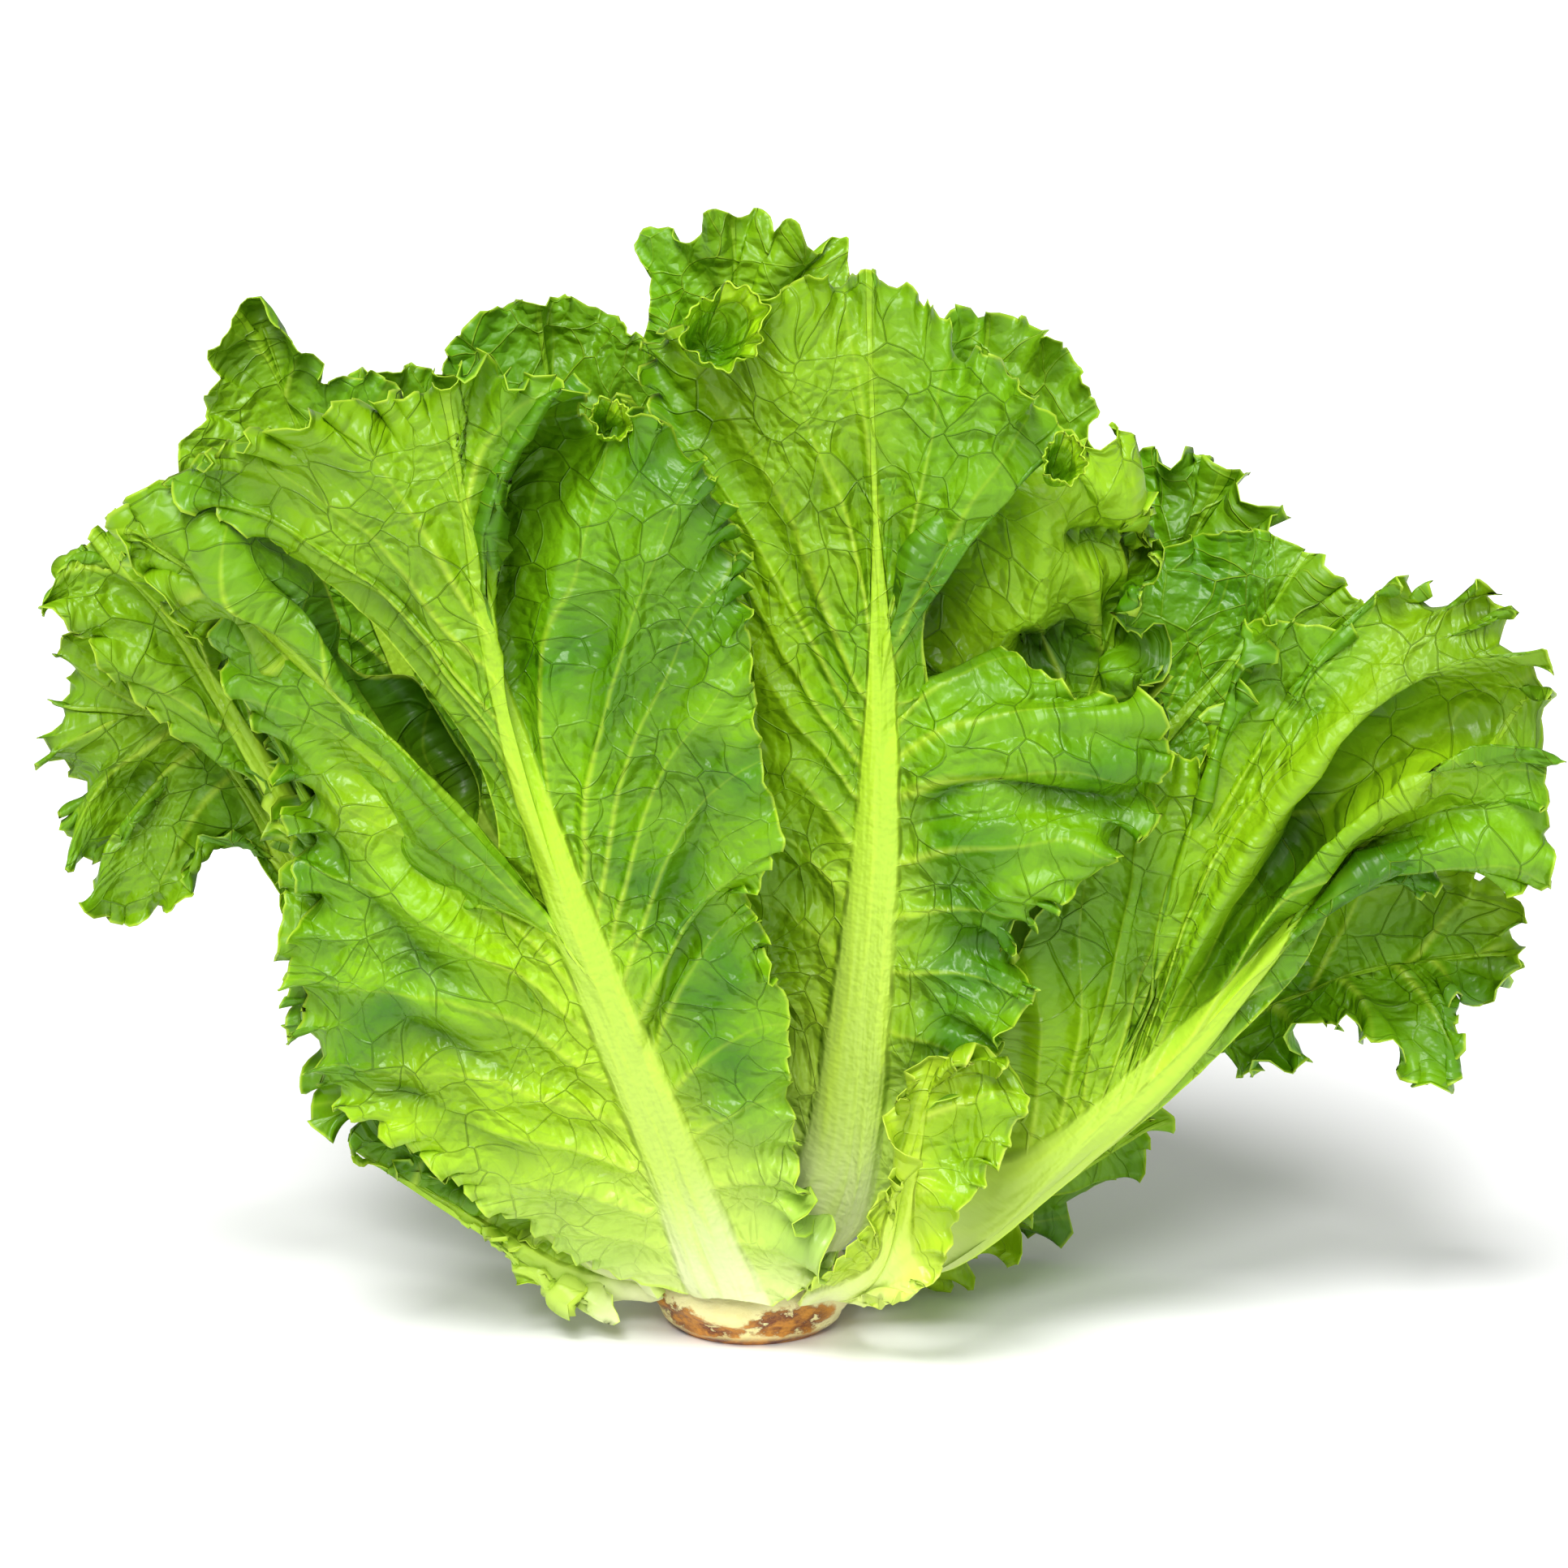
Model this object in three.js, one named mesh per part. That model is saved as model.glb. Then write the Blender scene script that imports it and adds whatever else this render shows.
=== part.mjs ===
// A head of green leaf lettuce, standing on its cut butt.
// Millimetres, +Z up, origin at the centre of the cut face, the head's open front towards -Y.
// The stem is a short cone. Each leaf is a separate thin solid: a thick rib on its lower side,
// a blade on both sides of the rib, and a foot that clasps the stem.
import * as THREE from "three";

// ---- Driving dimensions ----
const CUT_RADIUS = 20; // the flat cut face under the stem
const BUTT_RADIUS = 22.5; // the stem at its widest, just under the lowest leaves
const BUTT_HEIGHT = 6;
const STEM_TOP = 60;
const FOOT_GAP = 0.8; // between a leaf's foot and the stem
const BLADE_THICKNESS = 1.2;
const RIB_WIDTH_SHARE = 0.94; // the rib's width at the foot as a share of the foot's width
const RIB_FOOT_DEPTH = 0.25; // how far it stands out of the blade there, as a share of half the foot
const RIB_DEPTH = 0.5; // and where it is thickest, a little above
const RIB_TIP_HALF_WIDTH = 1;
const RIB_END = 0.9; // the rib fades out at this share of the leaf's length
const VEIN_RISE = 0.4; // how steeply the side veins climb towards the margin
const RAYS = 9; // side veins modelled on each side of the rib
const COLUMNS = 4; // steps from the rib to the margin

// ---- Finishes ----
const FINISH = {
  butt: new THREE.MeshStandardMaterial({ color: 0xe6dfb4, roughness: 0.6 }),
  outer: new THREE.MeshStandardMaterial({ color: 0x6fae24, roughness: 0.45 }),
  inner: new THREE.MeshStandardMaterial({ color: 0x8fc63a, roughness: 0.45 }),
  heart: new THREE.MeshStandardMaterial({ color: 0xb9d95f, roughness: 0.5 }),
};

// ---- Leaves ----
// leaf(name, turn, height, rib, shape): turn is where the foot sits round the stem, in degrees
// from the front and positive to the right; height is the foot's height on the stem; rib is
// the points that the rib passes after the foot, the last one being the leaf's tip.
// The shape, seen from the lower side, left half first where there are two values:
// face: the way the lower side looks at the tip.
// half: the widths of the half blades.
// cup: how far each half turns inwards from the rib to the margin, in degrees.
// widest: the share of the length at which the half blade is widest.
// spread: how late the half blade widens above the foot; more is later.
// foot: half the width of the foot.
function leaf(name, turn, height, rib, shape) {
  const usual = { cup: [20, 20], widest: 0.7, spread: 1.6, foot: 9.5, finish: "outer" };
  const all = { name, turn, height, rib, ...usual, ...shape };
  for (const key of ["widest", "spread"])
    if (!Array.isArray(all[key])) all[key] = [all[key], all[key]];
  return all;
}

const LEAVES = [
  // Lying low under the rest, next to the table.
  leaf("low_left_leaf", -74, 5.5, [[-40, -10, 8], [-63, -12, 20], [-87, -12, 36]], {
    face: [-0.3, -0.8, -0.6], half: [19, 22], foot: 6, widest: 0.55,
  }),
  leaf("low_right_leaf", 104, 5.5, [[34, 8, 8], [46, 9, 16], [58, 8, 25]], {
    face: [0.2, -1, -0.4], half: [6, 12], foot: 5, widest: 0.5,
  }),
  leaf("low_back_leaf", 136, 5.5, [[34, 30, 7], [62, 34, 17], [92, 33, 36]], {
    face: [0.2, -0.8, -0.8], half: [18, 14], foot: 5, widest: 0.6,
  }),
  // The outer whorl.
  leaf("front_leaf", -12, 10, [[-16, -35, 48], [-37, -50, 106], [-51, -57, 160], [-60, -58, 213]], {
    face: [0, -1, 0.1], half: [62, 53], cup: [-5, 20], widest: [0.88, 0.7], spread: [6, 1.1],
  }),
  leaf("pale_folded_leaf", 41, 10, [[28, -31, 22], [34, -38, 44], [39, -43, 68]], {
    face: [0.3, -1, 0.2], half: [12, 11], cup: [-20, 10], foot: 7, widest: 0.5,
  }),
  leaf("right_leaf", 84, 10, [[46, -14, 24], [80, -24, 57], [116, -28, 100], [150, -22, 156]], {
    face: [0.1, -1, 0.3], half: [52, 42], cup: [10, 10], widest: [0.7, 0.75], spread: [1.6, 4],
  }),
  leaf("rear_right_leaf", 149, 12, [[32, 38, 46], [52, 58, 96], [68, 70, 146], [78, 74, 178]], {
    face: [0.5, 1, 0.05], half: [48, 50], cup: [33, 22], spread: [2.4, 1.6],
  }),
  leaf("rear_left_leaf", -164, 10, [[-20, 40, 44], [-44, 60, 90], [-62, 72, 138], [-74, 76, 176]], {
    face: [-0.35, 1, 0.05], half: [50, 50], cup: [22, 45],
  }),
  leaf("drooping_left_leaf", -109, 10, [
    [-61, 11, 38], [-94, 8, 92], [-114, 6, 128], [-130, 5, 116], [-134, 4, 88],
  ], {
    face: [-0.3, -1, 0.2], half: [22, 20], cup: [10, 10], widest: 0.75, spread: 3,
  }),
  leaf("lower_left_leaf", -62, 12, [[-50, -19, 46], [-73, -27, 88], [-90, -30, 120], [-99, -30, 140]], {
    face: [-0.2, -1, 0.1], half: [36, 24], cup: [10, 10], widest: [0.5, 0.6], spread: [1.6, 5],
  }),
  // The second whorl.
  leaf("upper_left_leaf", -36, 19, [[-40, -32, 71], [-66, -40, 122], [-100, -42, 163], [-130, -40, 185]], {
    face: [-0.1, -1, 0.3], half: [30, 34], cup: [20, 10], foot: 8, spread: [3.5, 2.5],
  }),
  leaf("left_leaf", -88, 19, [[-58, -11, 52], [-92, -16, 110], [-120, -18, 158], [-142, -16, 178]], {
    face: [-0.2, -1, 0.2], half: [36, 34], cup: [10, 10], foot: 7.5, spread: 3.5,
  }),
  leaf("rear_middle_left_leaf", -139, 19, [
    [-42, 32, 60], [-70, 46, 110], [-92, 54, 160], [-104, 56, 192],
  ], {
    face: [-0.5, 1, 0.05], half: [40, 40], cup: [20, 40], foot: 8,
  }),
  leaf("rear_middle_right_leaf", 167, 19, [[10, 39, 60], [14, 54, 115], [16, 63, 170], [18, 66, 208]], {
    face: [0.1, 1, 0.05], half: [44, 44], cup: [25, 25], foot: 8,
  }),
  leaf("lower_right_leaf", 113, 19, [[58, 14, 34], [96, 14, 58], [130, 10, 75], [162, 4, 82]], {
    face: [0.2, -0.8, 0.2], half: [32, 32], cup: [10, 10], foot: 8, widest: 0.78, spread: 4,
  }),
  leaf("centre_leaf", 34, 19, [[20, -24, 50], [26, -36, 115], [26, -42, 170], [20, -40, 234]], {
    face: [0, -1, 0], half: [46, 56], cup: [10, 0], foot: 8, widest: [0.86, 0.62],
  }),
  // The inner leaves.
  leaf("crumpled_leaf", 73, 28, [[46, -10, 66], [62, -12, 110], [74, -12, 150], [82, -10, 186]], {
    face: [0.1, -1, 0.1], half: [30, 34], cup: [10, 10], foot: 6.5, spread: 3, finish: "inner",
  }),
  leaf("back_right_leaf", 124, 28, [[36, 24, 62], [66, 34, 112], [90, 40, 154], [102, 42, 180]], {
    face: [0.3, 1, 0], half: [34, 34], foot: 6.5, finish: "inner",
  }),
  leaf("top_leaf", 175, 28, [[0, 36, 66], [-2, 50, 130], [-4, 58, 190], [-4, 60, 235]], {
    face: [0, 1, 0], half: [38, 38], foot: 6.5, finish: "inner",
  }),
  leaf("back_left_leaf", -134, 28, [[-22, 25, 66], [-34, 38, 120], [-42, 45, 175], [-46, 46, 217]], {
    face: [-0.1, 1, 0], half: [34, 34], foot: 6.5, finish: "inner",
  }),
  leaf("side_right_leaf", 98, 37, [[45, 8, 70], [80, 14, 116], [106, 20, 146], [120, 24, 166]], {
    face: [0.3, 1, 0], half: [34, 34], foot: 5, spread: 2, finish: "inner",
  }),
  leaf("top_right_leaf", 152, 37, [[20, 24, 70], [36, 36, 130], [46, 44, 180], [52, 46, 212]], {
    face: [0.2, 1, 0], half: [34, 34], foot: 5, spread: 2, finish: "inner",
  }),
  leaf("top_left_leaf", -145, 37, [[-30, 17, 70], [-54, 26, 120], [-74, 32, 170], [-84, 34, 204]], {
    face: [-0.2, 1, 0], half: [30, 30], foot: 5, spread: 2, finish: "inner",
  }),
  leaf("far_top_left_leaf", -86, 37, [[-38, 8, 70], [-68, 18, 125], [-92, 25, 180], [-106, 27, 218]], {
    face: [-0.2, 1, 0], half: [24, 26], foot: 5, spread: 2, finish: "inner",
  }),
  // The heart.
  leaf("heart_right_leaf", 40, 46, [[12, -8, 80], [14, -10, 120], [12, -8, 150]], {
    face: [0.6, -1, 0], half: [20, 20], cup: [60, 60], foot: 3.5, finish: "heart",
  }),
  leaf("heart_back_leaf", 165, 46, [[2, 12, 80], [2, 16, 120], [2, 16, 156]], {
    face: [0, 1, 0], half: [20, 20], cup: [60, 60], foot: 3.5, finish: "heart",
  }),
  leaf("heart_left_leaf", -70, 46, [[-14, -2, 80], [-18, -4, 120], [-18, -4, 152]], {
    face: [-1, -0.2, 0], half: [20, 20], cup: [60, 60], foot: 3.5, finish: "heart",
  }),
];

// ---- The stem ----
// The stem's radius at a height: a bowl below the lowest leaves, then a cone.
const STEM_PROFILE = [
  [0, 0],
  [CUT_RADIUS, 0],
  [21.6, 1.6],
  [BUTT_RADIUS, BUTT_HEIGHT],
  [22, 10],
  [18, 19],
  [14, 28],
  [10.5, 37],
  [7.5, 46],
  [4.5, 54],
  [0, STEM_TOP],
];

function stemRadius(height) {
  const above = STEM_PROFILE.findIndex(([, z]) => z > height);
  const [r0, z0] = STEM_PROFILE[above - 1];
  const [r1, z1] = STEM_PROFILE[above];
  return r0 + ((r1 - r0) * (height - z0)) / (z1 - z0);
}

function stem() {
  const outline = STEM_PROFILE.map(([r, z]) => new THREE.Vector2(r, z));
  const solid = new THREE.LatheGeometry(outline, 32);
  solid.rotateX(Math.PI / 2); // a lathe turns about Y
  return named("stem", solid, "butt");
}

// ---- A leaf ----
const smooth = (a, b, x) => THREE.MathUtils.smoothstep(x, a, b);
const mix = THREE.MathUtils.lerp;
const radians = THREE.MathUtils.degToRad;

// A half blade's outline in shares of its width and length, q running from foot to tip:
// it spreads from the foot to the widest place, then rounds over to the tip.
function outline(leaf, side, q) {
  const foot = leaf.foot / leaf.half[side];
  const widest = leaf.widest[side];
  const turn = 0.45; // the share of q that is spent below the widest place
  if (q < turn) {
    const y = q / turn;
    return [foot + (1 - foot) * Math.sin((y * Math.PI) / 2) ** leaf.spread[side], y * widest];
  }
  const a = (((q - turn) / (1 - turn)) * Math.PI) / 2;
  return [Math.cos(a) ** 0.8, widest + (1 - widest) * Math.sin(a)];
}

// The rib's share of the foot's width, and its depth as a share of that width, at share s of
// the leaf's length.
const ribHalfWidth = (leaf, s) =>
  mix(RIB_TIP_HALF_WIDTH, leaf.foot * RIB_WIDTH_SHARE, Math.max(0, 1 - s / RIB_END) ** 1.6);

const ribDepth = (leaf, s) =>
  leaf.foot * mix(RIB_FOOT_DEPTH, RIB_DEPTH, smooth(0, 0.12, s)) * Math.max(0, 1 - s / RIB_END) ** 1.1;

// The rib's centre line with the frame that carries the blade.
function ribFrames(leaf) {
  const turn = radians(leaf.turn);
  const out = new THREE.Vector3(Math.sin(turn), -Math.cos(turn), 0);
  const radius = stemRadius(leaf.height) + FOOT_GAP + BLADE_THICKNESS;
  const foot = out.clone().multiplyScalar(radius).setZ(leaf.height);
  const points = [foot, ...leaf.rib.map((p) => new THREE.Vector3(...p))];
  const curve = new THREE.CatmullRomCurve3(points, false, "catmullrom", 0.5);
  const leaving = curve.getTangentAt(0);
  const under = out.clone().multiplyScalar(leaving.z).setZ(-leaving.dot(out)).normalize();
  const face = new THREE.Vector3(...leaf.face).normalize();
  return {
    at(s) {
      const along = curve.getTangentAt(s);
      const normal = under.clone().lerp(face, smooth(0, 0.4, s));
      normal.addScaledVector(along, -normal.dot(along)).normalize();
      const across = along.clone().cross(normal);
      return { centre: curve.getPointAt(s), normal, across, clasp: 1 / radius };
    },
  };
}

// The point of the blade's middle surface at distance u across (negative to the left) and
// share s along, with its outward normal.
function bladePoint(frames, leaf, u, s) {
  const { centre, normal, across, clasp } = frames.at(s);
  const side = u < 0 ? 0 : 1;
  const own = radians(leaf.cup[side]) / leaf.half[side];
  const bend = mix(clasp, own, smooth(0, 0.35, s)) || 1e-6;
  const angle = bend * Math.abs(u);
  const sideways = (Math.sign(u) * Math.sin(angle)) / bend;
  const inwards = (1 - Math.cos(angle)) / bend;
  return {
    point: centre.clone().addScaledVector(across, sideways).addScaledVector(normal, -inwards),
    normal: normal
      .clone()
      .multiplyScalar(Math.cos(angle))
      .addScaledVector(across, Math.sign(u) * Math.sin(angle)),
  };
}

// A leaf is a strip of rays that run from the rib to the margin, from the foot's left end
// round the tip to its right end. The strip has an outer and an inner skin and a wall
// all round.
function leafSolid(leaf) {
  const frames = ribFrames(leaf);
  const outer = [];
  const inner = [];
  for (let ray = -RAYS; ray <= RAYS; ray++) {
    const side = ray < 0 ? 0 : 1;
    const half = leaf.half[side];
    const [x, y] = outline(leaf, side, 1 - Math.abs(ray) / RAYS);
    const root = RIB_END * y * (1 - VEIN_RISE * x);
    for (let column = 0; column <= COLUMNS; column++) {
      const rib = ribHalfWidth(leaf, root) / Math.max(x * half, RIB_TIP_HALF_WIDTH * 2);
      const edge = Math.min(rib, 0.8);
      const t = column === 0 ? 0 : edge + ((1 - edge) * (column - 1)) / (COLUMNS - 1);
      const s = mix(root, y, t);
      const { point, normal } = bladePoint(frames, leaf, (side ? 1 : -1) * t * x * half, s);
      const depth = column === 0 ? ribDepth(leaf, s) : 0;
      outer.push(point.clone().addScaledVector(normal, BLADE_THICKNESS / 2 + depth));
      inner.push(point.clone().addScaledVector(normal, -BLADE_THICKNESS / 2));
    }
  }
  return stripSolid(outer, inner);
}

// The closed mesh between two skins of the strip. The left and right rays of one place
// share their point on the rib.
function stripSolid(outer, inner) {
  const width = COLUMNS + 1;
  const index = (ray, column) =>
    (column === 0 ? -Math.abs(ray) + RAYS : ray + RAYS) * width + column;
  const positions = [...outer, ...inner].flatMap((p) => p.toArray());
  const lower = outer.length;
  const faces = [];
  const quad = (a, b, c, d) => {
    for (const [i, j, k] of [[a, b, c], [a, c, d]])
      if (i !== j && j !== k && k !== i) faces.push(i, j, k);
  };
  for (let ray = -RAYS; ray < RAYS; ray++)
    for (let column = 0; column < COLUMNS; column++) {
      const [a, b, c, d] = [
        index(ray, column), index(ray + 1, column),
        index(ray + 1, column + 1), index(ray, column + 1),
      ];
      quad(a, b, c, d);
      quad(lower + d, lower + c, lower + b, lower + a);
    }
  const rim = [];
  for (let ray = -RAYS; ray <= RAYS; ray++) rim.push(index(ray, COLUMNS));
  for (let column = COLUMNS - 1; column >= 0; column--) rim.push(index(RAYS, column));
  for (let column = 1; column < COLUMNS; column++) rim.push(index(-RAYS, column));
  rim.forEach((a, i) => {
    const b = rim[(i + 1) % rim.length];
    quad(a, b, lower + b, lower + a);
  });
  const solid = new THREE.BufferGeometry();
  solid.setAttribute("position", new THREE.Float32BufferAttribute(positions, 3));
  solid.setIndex(faces);
  return solid;
}

// ---- Assembly ----
function named(name, geometry, finish) {
  geometry.computeVertexNormals();
  const mesh = new THREE.Mesh(geometry, FINISH[finish]);
  mesh.name = name;
  return mesh;
}

const head = new THREE.Group();
head.add(stem());
for (const leaf of LEAVES) head.add(named(leaf.name, leafSolid(leaf), leaf.finish));

export default head;
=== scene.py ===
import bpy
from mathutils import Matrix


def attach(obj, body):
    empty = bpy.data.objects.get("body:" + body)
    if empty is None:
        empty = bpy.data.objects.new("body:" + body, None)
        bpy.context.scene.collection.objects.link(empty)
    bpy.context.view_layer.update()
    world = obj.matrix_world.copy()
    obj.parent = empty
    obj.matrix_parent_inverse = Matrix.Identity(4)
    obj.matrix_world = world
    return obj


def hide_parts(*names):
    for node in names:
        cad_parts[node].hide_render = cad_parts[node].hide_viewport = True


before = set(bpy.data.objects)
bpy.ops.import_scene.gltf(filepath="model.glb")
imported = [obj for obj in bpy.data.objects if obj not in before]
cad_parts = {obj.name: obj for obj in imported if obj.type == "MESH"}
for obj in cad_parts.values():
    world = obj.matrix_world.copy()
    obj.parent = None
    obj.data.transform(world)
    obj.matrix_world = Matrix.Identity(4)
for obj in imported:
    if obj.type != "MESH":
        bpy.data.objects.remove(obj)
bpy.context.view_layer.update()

import math

import bmesh
import bpy
import numpy as np
from mathutils import Vector

# ---- Camera ----
# It looks slightly down at the open front of the head, from just over a metre away.
AIM = Vector((0.007, 0.0, 0.1197))
CAMERA_DISTANCE = 1.1
CAMERA_RISE = math.radians(13)
LENS_LENGTH = 118.9

lens = bpy.data.cameras.new("camera")
lens.lens = LENS_LENGTH
lens.sensor_width = 36
lens.clip_end = 100
camera = bpy.data.objects.new("camera", lens)
camera.location = AIM + CAMERA_DISTANCE * Vector((0, -math.cos(CAMERA_RISE), math.sin(CAMERA_RISE)))
camera.rotation_euler = (math.pi / 2 - CAMERA_RISE, 0, 0)
bpy.context.scene.collection.objects.link(camera)
bpy.context.scene.camera = camera

# ---- The cut butt and stem ----
# The short solid stem of the plant, cut flat where it was taken off the root. The flesh is
# creamy white and wet, the skin carries the scars of leaves that were pulled off, and the
# cut edge has turned brown in the air.
STEM_PROFILE = [  # radius and height of the bowl and cone, in millimetres
    (16.5, 0.0), (19.4, 2.0), (21.4, 4.8), (22.4, 7.8), (22.0, 10.0), (18.0, 19.0),
    (14.0, 28.0), (10.5, 37.0), (7.5, 46.0), (4.5, 54.0), (0.4, 60.0),
]
SCABS = [  # how far round from the front, how high, half as wide and half as tall as it is
    (-0.95, 6.2, 0.42, 3.4), (-0.5, 3.6, 0.42, 1.7), (0.22, 6.4, 0.26, 2.8), (0.6, 5.6, 0.32, 3.6),
    (1.7, 5.0, 0.4, 2.2), (2.8, 5.5, 0.3, 2.0), (-2.2, 5.0, 0.45, 2.2),
]
LEAF_SCARS = [(-2.6, 4.5, 1.2), (-1.2, 6.5, -0.9), (0.5, 5.0, 1.0), (2.0, 7.5, 0.7)]  # start, level, slant
SCAR_HEIGHT = 0.9
SCAB_DEPTH = 1.1
LUMP_HEIGHT = 0.35
LUMP_SIZE = 4.5
CUT_DISH = 0.5  # how far the middle of the cut face is dished
CUT_RINGS = 14
STEM_AROUND = 132
STEM_UP = 52
MM = 0.001


def nodes_of(name):
    """A new material, and a short call that adds a node to it. Each input of the node is given
    by its name, or by i and its number, and is a value or another node's output."""
    material = bpy.data.materials.new(name)
    material.use_nodes = True
    tree = material.node_tree
    tree.nodes.clear()

    def add(kind, settings=None, **inputs):
        node = tree.nodes.new("ShaderNode" + kind)
        for key, value in (settings or {}).items():
            setattr(node, key, value)
        for key, value in inputs.items():
            numbered = key[0] == "i" and key[1:].isdigit()
            socket = node.inputs[int(key[1:]) if numbered else key.replace("_", " ")]
            if isinstance(value, bpy.types.NodeSocket):
                tree.links.new(value, socket)
            else:
                socket.default_value = value
        return node

    return material, add


def lump(x, seed, size):
    """Smooth noise from -1 to 1 along a line, with lumps about size long."""
    dice = np.random.default_rng(seed)
    steps = int(np.ptp(x) / size) + 4
    knots = dice.uniform(-1, 1, steps)
    at = (x - x.min()) / size
    low = np.floor(at).astype(int)
    part = at - low
    part = part * part * (3 - 2 * part)
    return knots[low] * (1 - part) + knots[low + 1] * part


def grid_faces(rows, columns, closed, first=0, turned=False):
    """The quads of a grid of points, as an array of four corner numbers."""
    i = np.arange(rows - (0 if closed else 1))
    j = np.arange(columns - 1)
    i, j = np.meshgrid(i, j, indexing="ij")
    a = i * columns + j
    b = ((i + 1) % rows) * columns + j
    quads = np.stack([a, b, b + 1, a + 1], -1).reshape(-1, 4) + first
    return quads[:, ::-1] if turned else quads


def piece(name, points, faces, materials, face_material=None, uv=None, values=None):
    """A smooth mesh object from points in millimetres."""
    mesh = bpy.data.meshes.new(name)
    mesh.from_pydata((points * MM).tolist(), [], faces.tolist())
    for material in materials:
        mesh.materials.append(material)
    if face_material is not None:
        mesh.polygons.foreach_set("material_index", face_material.astype(np.int32))
    corners = np.empty(len(mesh.loops), np.int32)
    mesh.loops.foreach_get("vertex_index", corners)
    for key, coordinates in (uv or {}).items():
        layer = mesh.uv_layers.new(name=key)
        layer.data.foreach_set("uv", coordinates[corners].astype(np.float32).ravel())
    for key, value in (values or {}).items():
        attribute = mesh.attributes.new(key, "FLOAT", "POINT")
        attribute.data.foreach_set("value", value.astype(np.float32))
    mesh.shade_smooth()
    made = bpy.data.objects.new(name, mesh)
    bpy.context.scene.collection.objects.link(made)
    return made


def make_butt_flesh():
    material, add = nodes_of("butt_flesh")
    place = add("TexCoord").outputs["Object"]
    height = add("SeparateXYZ", Vector=place).outputs["Z"]
    mottle = add("TexNoise", Vector=place, Scale=70, Detail=6, Roughness=0.6).outputs["Fac"]
    stretched = add("Mapping", Vector=place, Scale=(1, 1, 1.6)).outputs["Vector"]
    streak = add("TexNoise", Vector=stretched, Scale=210, Detail=5, Roughness=0.65).outputs["Fac"]

    def two_tones(value, *tones):
        ramp = add("ValToRGB", Fac=value)
        for element, (position, colour) in zip(ramp.color_ramp.elements, tones):
            element.color = (*colour, 1)
            element.position = position
        return ramp.outputs[0]

    tint = two_tones(mottle, (0.3, (0.80, 0.70, 0.28)), (0.62, (0.88, 0.80, 0.42)))
    # Brown where the flesh has dried: a thin line round the cut and scabs above it.
    rim = add("MapRange", Value=height, i1=0.0010, i2=0.0030, i3=1.0, i4=0.0).outputs[0]
    dried = add("Attribute", {"attribute_name": "dried"}).outputs["Fac"]
    torn = add("MapRange", Value=streak, i1=0.35, i2=0.65, i3=0.25, i4=1.5).outputs[0]
    scab = add("Math", {"operation": "MULTIPLY"}, i0=dried, i1=torn).outputs[0]
    blotch = add("MapRange", Value=scab, i1=0.26, i2=0.48, i3=0.0, i4=1.0).outputs[0]
    brown = add("Math", {"operation": "MAXIMUM"}, i0=blotch, i1=rim).outputs[0]
    rust = two_tones(streak, (0.42, (0.14, 0.025, 0.002)), (0.6, (0.56, 0.23, 0.02)))
    colour = add("Mix", {"data_type": "RGBA"}, i0=brown, i6=tint, i7=rust)
    relief = add("Math", {"operation": "ADD"}, i0=mottle, i1=streak).outputs[0]
    bump = add("Bump", Height=relief, Strength=0.5, Distance=0.0012)
    shine = add("MapRange", Value=streak, i1=0.3, i2=0.7, i3=0.22, i4=0.5).outputs[0]
    skin = add("BsdfPrincipled", Base_Color=colour.outputs[2], Roughness=shine, Normal=bump.outputs[0])
    skin.inputs["Subsurface Weight"].default_value = 0.15
    skin.inputs["Subsurface Radius"].default_value = (0.004, 0.003, 0.001)
    add("OutputMaterial", Surface=skin.outputs[0])
    return material


butt_flesh = make_butt_flesh()


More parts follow.
